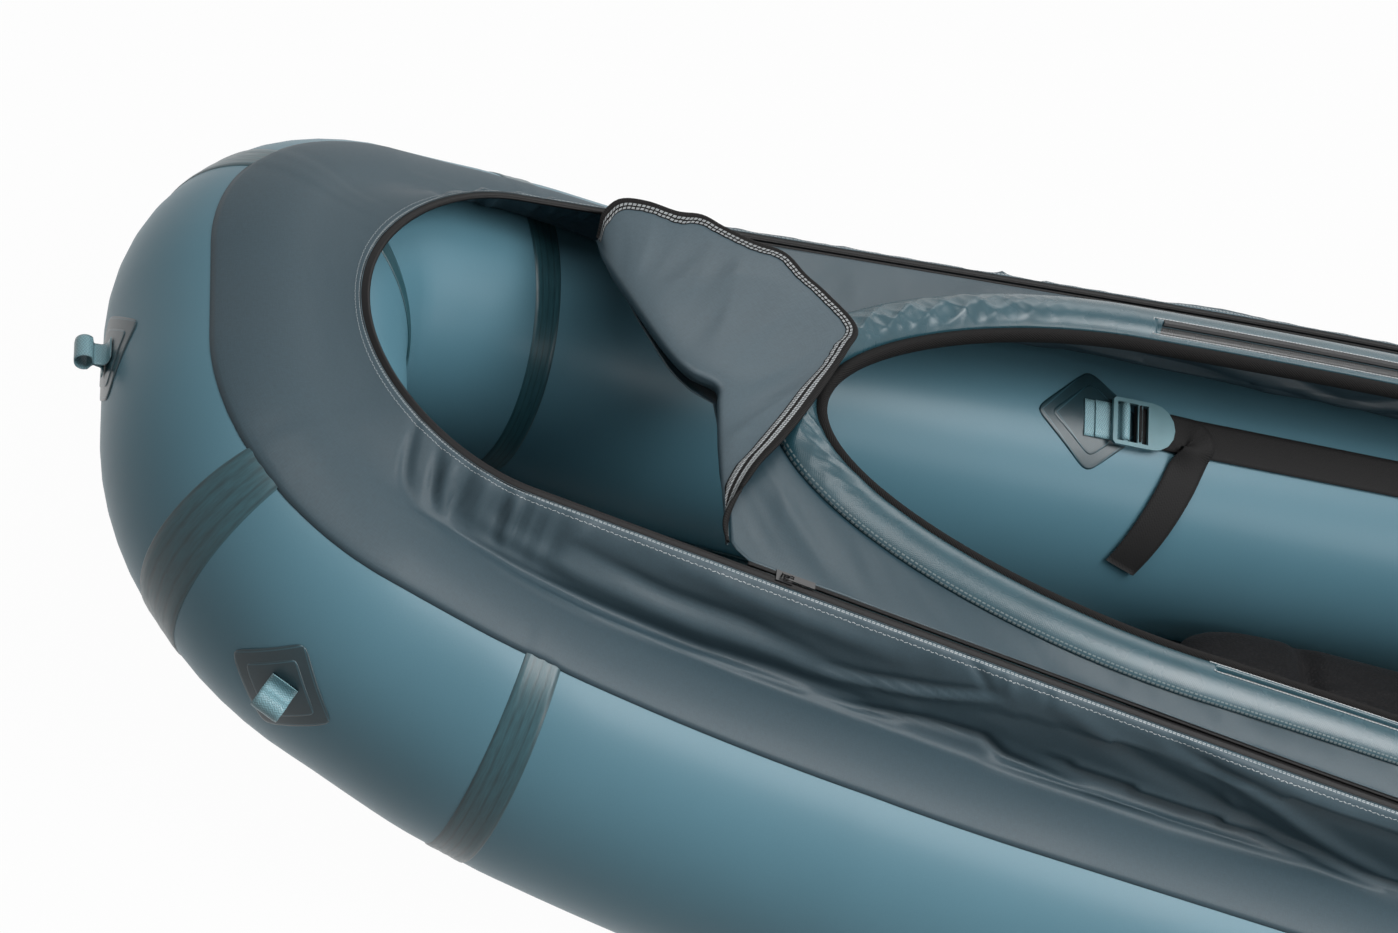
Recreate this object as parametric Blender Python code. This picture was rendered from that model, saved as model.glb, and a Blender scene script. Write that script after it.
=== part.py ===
"""Decked one-person packraft, built from its welded panels, deck cloths, zip, coaming and fittings.

Metres. +X is the bow, +Y is port, +Z is up. The origin lies on the ground under the middle of the boat.
"""
import bpy
import bmesh
from math import acos, atan2, ceil, cos, exp, pi, radians, sin, sqrt, tan
from mathutils import Matrix, Vector

for old in list(bpy.data.objects):
    bpy.data.objects.remove(old, do_unlink=True)

# Tube centreline in plan: corners of the port half, and how gently each is bent
BOW_X = 1.09
BOW_HALF = 0.17
FORE_KNUCKLE_X = 0.85
FORE_KNUCKLE_HALF = 0.235
WAIST_X = -0.40
WAIST_HALF = 0.352
AFT_KNUCKLE_X = -0.86
AFT_KNUCKLE_HALF = 0.29
STERN_X = -1.088
STERN_HALF = 0.17
KNUCKLE_BEND = 0.60
WAIST_BEND = 1.50
CORNER_CORE = 0.02

# Tube section and rocker
TUBE_R = 0.143
BOW_TUBE_R = 0.130
STERN_TUBE_R = 0.132
TAPER_LENGTH = 0.54
BOW_RISE = 0.11
BOW_RISE_RUN = 0.70
STERN_RISE = 0.07
STERN_RISE_RUN = 0.58
WALL = 0.0010
FACETS = 20
LONGEST_STEP = 0.27
WIDEST_TURN = radians(16.5)

# Fits and cloth
GAP = 0.0003
PANEL_GAP = 0.0006
TAPE_WIDTH = 0.028
TAPE_THICK = 0.0006
OVER_TAPE = GAP + TAPE_THICK + GAP
CLOTH = 0.0009

# Floor
FLOOR_ANGLE = radians(230.0)
FLOOR_THICK = 0.0012
FLOOR_TAPE_LEG = 0.016

# Deck: weld line, zip and fold line
WELD_SIDE = radians(62.0)
WELD_BOW = radians(54.0)
CREASE_FACETS = 2
ZIP_Z = 0.378
ZIP_FRONT = 1.036
ZIP_NOSE = 0.14
ZIP_BACK = -0.90
ZIP_TAIL = 0.52
ZIP_GAUGE_X = 0.85
ZIP_GAUGE_HALF = 0.183
ZIP_FLARE_SHARE = 0.15
ZIP_FLARE_RUN = 1.05
FLARE_POWER = 6
ZIP_SLOT = 0.0026
ZIP_CHAIN_WIDTH = 0.0075
ZIP_CHAIN_THICK = 0.0014
FOLD_STARBOARD_X = 0.820
FOLD_PORT_X = 0.712
FOLD_GAP = 0.0012
SKIRT_SAG_SHARE = 0.07

# Cockpit rim, coaming sleeve and its rods
RIM_FRONT = 0.620
RIM_NOSE = 0.33
RIM_BACK = -0.52
RIM_TAIL = 0.30
RIM_GAUGE_X = 0.10
RIM_GAUGE_HALF = 0.212
RIM_FLARE_SHARE = 0.11
RIM_LIFT_FRONT = 0.004
RIM_LIFT = 0.016
RIM_WIDTH = 0.007
RIM_HIGH = 0.009
SLEEVE_WIDTH = 0.047
SLEEVE_HIGH = 0.015
SLEEVE_CROWN_SHARES = [(0.75, 0.7), (0.45, 1.0), (0.2, 0.9), (0.0, 0.35)]
ROD_R = 0.0035
ROD_FRONT_X = 0.270
ROD_BACK_X = -0.200
ROD_OUT = 0.020
SLOT_MARGIN = 0.006
LOOP_POINTS = 48


def finish(obj, look):
    """Give an object its own Principled material."""
    colour, rough, metal = look
    made = bpy.data.materials.new(obj.name)
    made.use_nodes = True
    shader = made.node_tree.nodes["Principled BSDF"]
    shader.inputs["Base Color"].default_value = (*colour, 1.0)
    shader.inputs["Roughness"].default_value = rough
    shader.inputs["Metallic"].default_value = metal
    obj.data.materials.clear()
    obj.data.materials.append(made)


TUBE_LOOK = ((0.10, 0.22, 0.27), 0.42, 0.0)
TAPE_LOOK = ((0.035, 0.11, 0.13), 0.22, 0.0)
FLOOR_LOOK = ((0.03, 0.10, 0.12), 0.45, 0.0)
SEAT_LOOK = ((0.014, 0.014, 0.016), 0.75, 0.0)
DECK_LOOK = ((0.07, 0.11, 0.14), 0.60, 0.0)
SLEEVE_LOOK = ((0.05, 0.13, 0.16), 0.35, 0.0)
BLACK_CLOTH = ((0.010, 0.010, 0.011), 0.80, 0.0)
BLACK_PLASTIC = ((0.012, 0.012, 0.013), 0.35, 0.0)
PATCH_LOOK = ((0.03, 0.10, 0.12), 0.38, 0.0)
WEB_LOOK = ((0.10, 0.22, 0.27), 0.30, 0.0)
BUCKLE_LOOK = ((0.09, 0.19, 0.21), 0.35, 0.0)


def make(name, points, faces, look, origin=None, soft_edge=35.0):
    """One closed solid from points and faces, with its origin at the given place."""
    mesh = bpy.data.meshes.new(name)
    bm = bmesh.new()
    corners = [bm.verts.new(p) for p in points]
    for face in faces:
        bm.faces.new([corners[i] for i in face])
    bmesh.ops.recalc_face_normals(bm, faces=bm.faces[:])
    if bm.calc_volume(signed=True) < 0:
        bmesh.ops.reverse_faces(bm, faces=bm.faces[:])
    bm.to_mesh(mesh)
    bm.free()
    if origin is not None:
        mesh.transform(Matrix.Translation(-Vector(origin)))
    mesh.shade_smooth()
    mesh.set_sharp_from_angle(angle=radians(soft_edge))
    obj = bpy.data.objects.new(name, mesh)
    bpy.context.scene.collection.objects.link(obj)
    if origin is not None:
        obj.location = origin
    finish(obj, look)
    return obj


def sweep(name, frames, profile, look, closed=False, origin=None, soft_edge=35.0):
    """Carry a closed profile of (side, up) pairs along frames of (place, side, up)."""
    points = []
    for place, side, up in frames:
        points += [place + side * a + up * b for a, b in profile]
    n = len(profile)
    count = len(frames)
    faces = []
    for j in range(count if closed else count - 1):
        k = (j + 1) % count
        for i in range(n):
            m = (i + 1) % n
            faces.append((j * n + i, j * n + m, k * n + m, k * n + i))
    if not closed:
        faces.append(tuple(range(n)))
        faces.append(tuple((count - 1) * n + i for i in reversed(range(n))))
    return make(name, points, faces, look, origin, soft_edge)


def sheet(name, rows, thick, look, closed=False, origin=None, soft_edge=50.0):
    """A cloth of one thickness whose middle surface runs through rows of points."""
    high = len(rows)
    wide = len(rows[0])

    def at(j, i):
        """Point of the middle surface, wrapping round when the sheet is closed."""
        return rows[j % high][i] if closed else rows[min(max(j, 0), high - 1)][i]

    tops = []
    bottoms = []
    for j in range(high):
        for i in range(wide):
            along = at(j + 1, i) - at(j - 1, i)
            across = rows[j][min(i + 1, wide - 1)] - rows[j][max(i - 1, 0)]
            normal = along.cross(across).normalized()
            tops.append(rows[j][i] + normal * thick / 2)
            bottoms.append(rows[j][i] - normal * thick / 2)
    shift = high * wide
    faces = []
    for j in range(high if closed else high - 1):
        k = (j + 1) % high
        for i in range(wide - 1):
            a, b, c, d = j * wide + i, j * wide + i + 1, k * wide + i + 1, k * wide + i
            faces += [(a, b, c), (a, c, d)]
            faces += [(shift + c, shift + b, shift + a), (shift + d, shift + c, shift + a)]
        for i in (0, wide - 1):
            a, b = j * wide + i, k * wide + i
            faces.append((a, b, shift + b, shift + a))
    if not closed:
        for j in (0, high - 1):
            for i in range(wide - 1):
                a, b = j * wide + i, j * wide + i + 1
                faces.append((a, b, shift + b, shift + a))
    return make(name, tops + bottoms, faces, look, origin, soft_edge)


def turned(name, profile, place, axis, steps, look, origin=None):
    """Turn a closed profile of (radius, height) pairs about an axis; radius zero lies on the axis."""
    turn = Vector((0, 0, 1)).rotation_difference(axis)
    points = []
    rings = []
    for radius, height in profile:
        if radius == 0:
            rings.append([len(points)] * steps)
            points.append(place + turn @ Vector((0, 0, height)))
            continue
        rings.append([len(points) + k for k in range(steps)])
        for k in range(steps):
            spin = 2 * pi * k / steps
            points.append(place + turn @ Vector((radius * cos(spin), radius * sin(spin), height)))
    faces = []
    for ring, following in zip(rings, rings[1:] + rings[:1]):
        for k in range(steps):
            m = (k + 1) % steps
            loop = []
            for index in (ring[k], ring[m], following[m], following[k]):
                if index not in loop:
                    loop.append(index)
            if len(loop) > 2:
                faces.append(tuple(loop))
    return make(name, points, faces, look, origin)


def cut(obj, cutter):
    """Take a cutter out of an object and throw the cutter away."""
    combine(obj, cutter, "DIFFERENCE")


def combine(obj, other, operation):
    """Apply one Boolean to an object and throw the other solid away."""
    change = obj.modifiers.new(operation, "BOOLEAN")
    change.operation = operation
    change.object = other
    change.solver = "EXACT"
    bpy.context.view_layer.update()
    graph = bpy.context.evaluated_depsgraph_get()
    made = bpy.data.meshes.new_from_object(obj.evaluated_get(graph))
    obj.modifiers.clear()
    obj.data = made
    bpy.data.objects.remove(other, do_unlink=True)


# The path of the tube

def centreline():
    """Straight runs and arcs of the port half, from the middle of the stern to the middle of the bow."""
    corners = [
        (Vector((STERN_X, 0)), 0),
        (Vector((STERN_X, STERN_HALF)), STERN_TUBE_R + CORNER_CORE),
        (Vector((AFT_KNUCKLE_X, AFT_KNUCKLE_HALF)), KNUCKLE_BEND),
        (Vector((WAIST_X, WAIST_HALF)), WAIST_BEND),
        (Vector((FORE_KNUCKLE_X, FORE_KNUCKLE_HALF)), KNUCKLE_BEND),
        (Vector((BOW_X, BOW_HALF)), BOW_TUBE_R + CORNER_CORE),
        (Vector((BOW_X, 0)), 0),
    ]
    runs = []
    seams = []
    here = corners[0][0]
    length = 0
    for before, (corner, bend), after in zip(corners, corners[1:], corners[2:]):
        heading = (corner - before[0]).normalized()
        onward = (after[0] - corner).normalized()
        turn = acos(max(-1.0, min(1.0, heading.dot(onward))))
        setback = bend * tan(turn / 2)
        start = corner - heading * setback
        run = (start - here).length
        angle = atan2(heading.y, heading.x)
        runs.append((length, run, here, angle, 0))
        length += run
        runs.append((length, bend * turn, start, angle, bend))
        seams.append(length + bend * turn / 2)
        length += bend * turn
        here = corner + onward * setback
    last = corners[-1][0] - here
    runs.append((length, last.length, here, atan2(last.y, last.x), 0))
    return runs, seams, length + last.length


RUNS, SEAMS, HALF_PATH = centreline()


def place_on_path(s):
    """Point, outward direction and heading angle of the centreline; minus s is the starboard side."""
    reach = min(abs(s), HALF_PATH)
    for start, run, origin, angle, bend in RUNS:
        if reach <= start + run:
            break
    step = reach - start
    if bend:
        heading = angle - step / bend
        centre = origin + Vector((sin(angle), -cos(angle))) * bend
        spot = centre + Vector((-sin(heading), cos(heading))) * bend
    else:
        heading = angle
        spot = origin + Vector((cos(angle), sin(angle))) * step
    side = 1 if s >= 0 else -1
    outward = Vector((-sin(heading), cos(heading) * side, 0))
    return Vector((spot.x, spot.y * side, 0)), outward, heading


def tube_radius(x):
    """Radius of the tube, drawn in toward the bow and the stern."""
    bow = min(max((x - BOW_X + TAPER_LENGTH) / TAPER_LENGTH, 0), 1)
    stern = min(max((STERN_X + TAPER_LENGTH - x) / TAPER_LENGTH, 0), 1)
    return TUBE_R + (BOW_TUBE_R - TUBE_R) * bow + (STERN_TUBE_R - TUBE_R) * stern


def tube_centre(s):
    """Centre of the tube, its outward direction and its radius at s; the flat underside stands at zero."""
    spot, outward, heading = place_on_path(s)
    bow = max((spot.x - BOW_X + BOW_RISE_RUN) / BOW_RISE_RUN, 0)
    stern = max((STERN_X + STERN_RISE_RUN - spot.x) / STERN_RISE_RUN, 0)
    radius = tube_radius(spot.x)
    spot.z = radius * cos(pi / FACETS) + BOW_RISE * bow ** 2 + STERN_RISE * stern ** 2
    return spot, outward, radius


def skin(s, angle, off):
    """Point on the faceted tube, lifted off it by a clearance."""
    centre, outward, radius = tube_centre(s)
    facet = 2 * pi / FACETS
    within = (angle + pi / FACETS) % facet - pi / FACETS
    reach = (radius * cos(pi / FACETS) + off) / cos(within)
    return centre + (outward * cos(angle) + Vector((0, 0, 1)) * sin(angle)) * reach


def facet_angle(k):
    """Angle of the kth edge of the faceted tube."""
    return (k + 0.5) * 2 * pi / FACETS


def stations(start, end, taped_start=True, taped_end=True):
    """Places along one tube panel: its ends, the tape edges, the arc ends and steps between them."""
    marks = [start + PANEL_GAP / 2, end - PANEL_GAP / 2]
    inner_start = start + TAPE_WIDTH / 2
    inner_end = end - TAPE_WIDTH / 2
    marks += [inner_start] if taped_start else []
    marks += [inner_end] if taped_end else []
    for run_start, run, origin, angle, bend in RUNS[1:]:
        for side in (-1, 1):
            if inner_start + PANEL_GAP < run_start * side < inner_end - PANEL_GAP:
                marks.append(run_start * side)
    marks.sort()
    out = []
    for a, b in zip(marks, marks[1:]):
        swing = abs(place_on_path(a)[2] - place_on_path(b)[2]) if a * b > 0 else 0
        parts = max(ceil((b - a) / LONGEST_STEP), ceil(swing / WIDEST_TURN - 0.05), 1)
        out += [a + (b - a) * k / parts for k in range(parts)]
    return out + [marks[-1]]


def ring_shell(name, places, low, high, look):
    """A stretch of tube between two offsets from the hull's skin, open at both ends."""
    points = []
    for s in places:
        for off in (high, low):
            points += [skin(s, facet_angle(k), off) for k in range(FACETS)]
    faces = []
    ring = 2 * FACETS
    for j in range(len(places) - 1):
        for k in range(FACETS):
            m = (k + 1) % FACETS
            a, b = j * ring, (j + 1) * ring
            for shift in (0, FACETS):
                faces.append((a + k + shift, a + m + shift, b + m + shift))
                faces.append((a + k + shift, b + m + shift, b + k + shift))
    for a in (0, (len(places) - 1) * ring):
        for k in range(FACETS):
            m = (k + 1) % FACETS
            faces.append((a + k, a + m, a + FACETS + m, a + FACETS + k))
    return make(name, points, faces, look, soft_edge=25.0)


# Tube panels and the tapes over their seams

STERN_SEAM, AFT_SEAM, WAIST_SEAM, FORE_SEAM, BOW_SEAM = SEAMS
PANELS = {
    "tube_stern": (-STERN_SEAM, STERN_SEAM, True, True),
    "tube_stern_port": (STERN_SEAM, AFT_SEAM, True, True),
    "tube_aft_port": (AFT_SEAM, WAIST_SEAM, True, False),
    "tube_fore_port": (WAIST_SEAM, FORE_SEAM, False, True),
    "tube_bow_port": (FORE_SEAM, BOW_SEAM, True, True),
    "tube_bow": (BOW_SEAM, 2 * HALF_PATH - BOW_SEAM, True, True),
    "tube_bow_starboard": (-BOW_SEAM, -FORE_SEAM, True, True),
    "tube_fore_starboard": (-FORE_SEAM, -WAIST_SEAM, True, False),
    "tube_aft_starboard": (-WAIST_SEAM, -AFT_SEAM, False, True),
    "tube_stern_starboard": (-AFT_SEAM, -STERN_SEAM, True, True),
}


def wrap(s):
    """Bring a place past the middle of the bow back to the starboard side."""
    return s - 2 * HALF_PATH if s > HALF_PATH else s


def bow_stations():
    """The bow panel runs across the end of the path, so its two halves are mirrored."""
    start = BOW_SEAM + PANEL_GAP / 2
    marks = [start, BOW_SEAM + TAPE_WIDTH / 2, RUNS[-1][0]]
    half = []
    for a, b in zip(marks, marks[1:]):
        swing = abs(place_on_path(a)[2] - place_on_path(b)[2])
        parts = max(ceil(swing / WIDEST_TURN - 0.05), 1)
        half += [a + (b - a) * k / parts for k in range(parts)]
    half.append(marks[-1])
    return half + [-s for s in reversed(half)]


def tube_panels():
    """Ten panels round the hull; the list of their places is kept for the deck and floor."""
    kept = {}
    for name, (start, end, taped_start, taped_end) in PANELS.items():
        places = bow_stations() if name == "tube_bow" else stations(start, end, taped_start, taped_end)
        ring_shell(name, places, -WALL, 0, TUBE_LOOK)
        kept[name] = places
    return kept


def seam_tapes():
    """A tape round each taped seam."""
    for label, seam in (("stern", STERN_SEAM), ("aft", AFT_SEAM), ("fore", FORE_SEAM), ("bow", BOW_SEAM)):
        for side, sign in (("port", 1), ("starboard", -1)):
            half = TAPE_WIDTH / 2
            places = sorted(sign * (seam + step) for step in (-half, 0, half))
            ring_shell(f"seam_tape_{label}_{side}", places, GAP, GAP + TAPE_THICK, TAPE_LOOK)


PLACES = tube_panels()
seam_tapes()


def round_hull():
    """Every place round the hull once, from the middle of the stern by port, bow and starboard."""
    order = ["tube_stern", "tube_stern_port", "tube_aft_port", "tube_fore_port", "tube_bow_port",
             "tube_bow", "tube_bow_starboard", "tube_fore_starboard", "tube_aft_starboard",
             "tube_stern_starboard"]
    out = []
    for name in order:
        out += PLACES[name][:-1]
    return out


HULL_PLACES = round_hull()


# Floor sheet and the tape that joins it to the tube

def floor():
    """The floor spans the tube low on its inner wall and follows the rocker."""
    rows = []
    last = None
    port = sorted(s for s in HULL_PLACES if s > 0)
    port = [s for s in port if s >= RUNS[1][0] - GAP and s <= RUNS[-1][0] + GAP]
    for s in port:
        edge = skin(s, FLOOR_ANGLE, OVER_TAPE) - Vector((0, 0, FLOOR_THICK / 2))
        if last is not None and edge.x - last < CLOTH:
            continue
        last = edge.x
        rows.append([Vector((edge.x, edge.y * share, edge.z)) for share in (-1, 0, 1)])
    sheet("floor_sheet", rows, FLOOR_THICK, FLOOR_LOOK)
    leg = FLOOR_TAPE_LEG
    thin = TAPE_THICK
    middle = round(FLOOR_ANGLE / (2 * pi / FACETS)) * 2 * pi / FACETS
    climb = (-sin(middle), -cos(middle))
    clear = (-cos(middle), sin(middle))
    corner = (GAP + thin - thin * clear[1]) / climb[1]
    profile = [(GAP, GAP), (leg, GAP), (leg, GAP + thin),
               (corner * climb[0] + thin * clear[0], corner * climb[1] + thin * clear[1]),
               (leg * climb[0] + thin * clear[0], leg * climb[1] + thin * clear[1]),
               (leg * climb[0], leg * climb[1])]
    frames = []
    for s in HULL_PLACES:
        frames.append((skin(s, FLOOR_ANGLE, OVER_TAPE), -tube_centre(s)[1], Vector((0, 0, 1))))
    sweep("floor_tape", frames, profile, TAPE_LOOK, closed=True)


floor()


# Loops of the deck in plan

def loop_half(front, nose, back, tail, gauge_x, gauge_half, flare_share, x):
    """Half width of a deck loop at x: sides that flare aft and then level off, and elliptical ends."""
    run = max(gauge_x - x, 0)
    run /= (1 + (run / ZIP_FLARE_RUN) ** FLARE_POWER) ** (1 / FLARE_POWER)
    side = gauge_half + flare_share * (run if x < gauge_x else gauge_x - x)
    bow = max(1 - (front - x) / nose, 0)
    stern = max(1 - (x - back) / tail, 0)
    return side * sqrt(max(1 - bow ** 2, 0)) * sqrt(max(1 - stern ** 2, 0))


ZIP_LOOP = (ZIP_FRONT, ZIP_NOSE, ZIP_BACK, ZIP_TAIL, ZIP_GAUGE_X, ZIP_GAUGE_HALF, ZIP_FLARE_SHARE)
RIM_LOOP = (RIM_FRONT, RIM_NOSE, RIM_BACK, RIM_TAIL, RIM_GAUGE_X, RIM_GAUGE_HALF, RIM_FLARE_SHARE)
FINE = 480


def fine_loop(loop):
    """Close points round a loop, from its front by port to its back and home by starboard."""
    front, back = loop[0], loop[2]
    half = FINE // 2
    port = []
    for k in range(half + 1):
        x = (front + back) / 2 + (front - back) / 2 * cos(pi * k / half)
        port.append(Vector((x, loop_half(*loop, x), 0)))
    return port + [Vector((p.x, -p.y, 0)) for p in reversed(port[1:-1])]


def outward_normals(points, closed=True):
    """Outward direction at each point of a path that runs from the front by port."""
    out = []
    n = len(points)
    for i in range(n):
        before = points[i - 1] if closed or i else points[i]
        after = points[(i + 1) % n] if closed or i < n - 1 else points[i]
        along = after - before
        out.append(Vector((along.y, -along.x, 0)).normalized())
    return out


def even(points, count, closed=True):
    """Points at equal steps along a path."""
    path = points + points[:1] if closed else points
    lengths = [0]
    for a, b in zip(path, path[1:]):
        lengths.append(lengths[-1] + (b - a).length)
    out = []
    k = 0
    for i in range(count):
        want = lengths[-1] * i / (count if closed else count - 1)
        while k < len(path) - 2 and lengths[k + 1] < want:
            k += 1
        span = lengths[k + 1] - lengths[k]
        out.append(path[k].lerp(path[k + 1], (want - lengths[k]) / span if span else 0))
    return out


def zip_spots():
    """For each place round the hull, the nearest point of the zip's loop and its outward direction."""
    fine = fine_loop(ZIP_LOOP)
    normals = outward_normals(fine)
    spots = []
    for s in HULL_PLACES:
        centre = place_on_path(s)[0]
        k = min(range(len(fine)), key=lambda i: (fine[i] - centre).length)
        spots.append((fine[k], normals[k]))
    return spots


ZIP_SPOTS = zip_spots()


def mitred(points):
    """Offset directions at the corners of a closed path, lengthened so that its sides stay parallel."""
    out = []
    n = len(points)
    for i in range(n):
        first = (points[i] - points[i - 1]).normalized()
        second = (points[(i + 1) % n] - points[i]).normalized()
        a = Vector((-first.y, first.x, 0))
        b = Vector((-second.y, second.x, 0))
        middle = (a + b).normalized()
        out.append(middle / max(middle.dot(a), 0.5))
    return out


# The zip's loop follows the hull's order: stern, port, bow, starboard
ZIP_POINTS = [spot + Vector((0, 0, ZIP_Z)) for spot, normal in ZIP_SPOTS]
ZIP_OUT = mitred(ZIP_POINTS)
CHAIN_NEAR = ZIP_SLOT / 2
CHAIN_FAR = CHAIN_NEAR + ZIP_CHAIN_WIDTH
CLOTH_EDGE = CHAIN_FAR + GAP + CLOTH / 2


def chain_profile():
    """Section of the outer zip chain, thick at the teeth and thin at the tape."""
    high = ZIP_CHAIN_THICK / 2
    return [(CHAIN_NEAR, -high), (CHAIN_FAR, -high / 2), (CHAIN_FAR, high / 2), (CHAIN_NEAR, high)]


# Deck skirts from the weld line over the tube to the zip

def skirt_row(index):
    """Points across the skirt at one place: weld, tube facets, free span and zip edge."""
    s = HULL_PLACES[index]
    spot = ZIP_POINTS[index]
    x = tube_centre(s)[0].x
    share = min(max((x - FORE_KNUCKLE_X) / (BOW_X - FORE_KNUCKLE_X), 0), 1)
    lift = OVER_TAPE + CLOTH / 2
    row = [skin(s, WELD_SIDE + (WELD_BOW - WELD_SIDE) * share, lift)]
    first = ceil(WELD_SIDE * FACETS / (2 * pi) - 0.5)
    row += [skin(s, facet_angle(first + k), lift) for k in range(CREASE_FACETS)]
    edge = spot + ZIP_OUT[index] * CLOTH_EDGE
    middle = row[-1].lerp(edge, 0.5)
    middle.z -= SKIRT_SAG_SHARE * (edge.z - row[-1].z)
    return row + [middle, edge]


def nearest_place(s):
    """Index of the hull place nearest to s."""
    return min(range(len(HULL_PLACES)), key=lambda i: abs(HULL_PLACES[i] - s))


def skirts():
    """Bow, side and stern skirts meet near the knuckles."""
    count = len(HULL_PLACES)
    fore_port = nearest_place(FORE_SEAM + TAPE_WIDTH / 2)
    aft_port = nearest_place(AFT_SEAM + TAPE_WIDTH / 2)
    fore_starboard = nearest_place(-FORE_SEAM - TAPE_WIDTH / 2)
    aft_starboard = nearest_place(-AFT_SEAM - TAPE_WIDTH / 2)
    spans = {
        "deck_skirt_port": (aft_port, fore_port),
        "deck_skirt_bow": (fore_port, fore_starboard),
        "deck_skirt_starboard": (fore_starboard, aft_starboard),
        "deck_skirt_stern": (aft_starboard, aft_port + count),
    }
    for name, (start, end) in spans.items():
        rows = [skirt_row(i % count) for i in range(start, end + 1)]
        for j, k in ((0, 1), (-1, -2)):
            rows[j] = [a + (b - a).normalized() * GAP / 2 for a, b in zip(rows[j], rows[k])]
        sheet(name, rows, CLOTH, DECK_LOOK)
    frames = [(p, out, Vector((0, 0, 1))) for p, out in zip(ZIP_POINTS, ZIP_OUT)]
    sweep("zip_outer_chain", frames, chain_profile(), BLACK_CLOTH, closed=True)


skirts()


# The fold line of the deck, from the starboard junction to the port junction

def fold_line():
    """Ends of the fold on the zip's loop, with its direction and the direction ahead of it."""
    ends = []
    for x, side in ((FOLD_STARBOARD_X, -1), (FOLD_PORT_X, 1)):
        ends.append(Vector((x, side * loop_half(*ZIP_LOOP, x), ZIP_Z)))
    along = (ends[1] - ends[0]).normalized()
    return ends, along, Vector((along.y, -along.x, 0))


FOLD_ENDS, FOLD_ALONG, FOLD_AHEAD = fold_line()


def ahead_of_fold(point):
    """How far a point lies ahead of the fold line."""
    return (point - FOLD_ENDS[0]).dot(FOLD_AHEAD)


def fold_cut(a, b, back):
    """Where the line from a to b crosses a line at a distance behind the fold."""
    da, db = ahead_of_fold(a) + back, ahead_of_fold(b) + back
    return a.lerp(b, da / (da - db))


def behind_fold(points, back):
    """The run of a closed path that lies behind the fold, with its two ends cut on the line."""
    n = len(points)
    inside = [ahead_of_fold(p) < -back for p in points]
    start = next(i for i in range(n) if inside[i] and not inside[i - 1])
    out = [fold_cut(points[start], points[start - 1], back)]
    k = start
    while inside[k % n]:
        out.append(points[k % n])
        k += 1
    out.append(fold_cut(points[(k - 1) % n], points[k % n], back))
    return out


def inner_chain():
    """The zip half on the centre deck, open ahead of the fold."""
    near = behind_fold([p - o * CHAIN_NEAR for p, o in zip(ZIP_POINTS, ZIP_OUT)], FOLD_GAP)
    mid = behind_fold([p - o * CHAIN_FAR for p, o in zip(ZIP_POINTS, ZIP_OUT)], FOLD_GAP)
    high = ZIP_CHAIN_THICK / 2
    up = Vector((0, 0, 1))
    points = []
    for a, b in zip(near, mid):
        points += [a - up * high, b - up * high / 2, b + up * high / 2, a + up * high]
    faces = []
    for j in range(len(near) - 1):
        for i in range(4):
            m = (i + 1) % 4
            faces.append((j * 4 + i, j * 4 + m, j * 4 + 4 + m, j * 4 + 4 + i))
    faces.append(tuple(range(4)))
    faces.append(tuple((len(near) - 1) * 4 + i for i in range(4)))
    make("zip_inner_chain", points, faces, BLACK_CLOTH)


inner_chain()


# Cockpit rim, coaming sleeve, rods and centre deck

def rim_lift(x):
    """Height of the cockpit rim over the zip, highest beside the paddler."""
    share = min(max((RIM_FRONT - x) / (RIM_FRONT - RIM_BACK), 0), 1)
    return RIM_LIFT_FRONT + RIM_LIFT * sin(pi * share)


RIM_POINTS = even(fine_loop(RIM_LOOP), LOOP_POINTS)
RIM_OUT = outward_normals(RIM_POINTS)
for rim_point in RIM_POINTS:
    rim_point.z = ZIP_Z + rim_lift(rim_point.x)
RIM_FRAMES = [(p, o, Vector((0, 0, 1))) for p, o in zip(RIM_POINTS, RIM_OUT)]
SLEEVE_IN = RIM_WIDTH + GAP
SLEEVE_OUT = SLEEVE_IN + SLEEVE_WIDTH


def rod_path(reach, side):
    """Path of a stiffener rod inside the sleeve, beside the paddler."""
    count = 9
    out = []
    for k in range(count):
        x = ROD_BACK_X - reach + (ROD_FRONT_X - ROD_BACK_X + 2 * reach) * k / (count - 1)
        step = GAP
        slope = (loop_half(*RIM_LOOP, x + step) - loop_half(*RIM_LOOP, x - step)) / (2 * step)
        normal = Vector((-slope, 1, 0)).normalized()
        point = Vector((x, loop_half(*RIM_LOOP, x), 0)) + normal * (SLEEVE_IN + ROD_OUT)
        point.z = ZIP_Z + rim_lift(x) + SLEEVE_HIGH * 0.6
        out.append(Vector((point.x, side * point.y, point.z)))
    return out


def round_bar(name, path, radius, sides, look, origin=None):
    """A round bar of even radius along a nearly level path."""
    frames = []
    for i, p in enumerate(path):
        along = (path[min(i + 1, len(path) - 1)] - path[max(i - 1, 0)]).normalized()
        side = Vector((0, 0, 1)).cross(along).normalized()
        frames.append((p, side, along.cross(side)))
    profile = [(radius * cos(2 * pi * k / sides), radius * sin(2 * pi * k / sides)) for k in range(sides)]
    return sweep(name, frames, profile, look, origin=origin)


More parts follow.
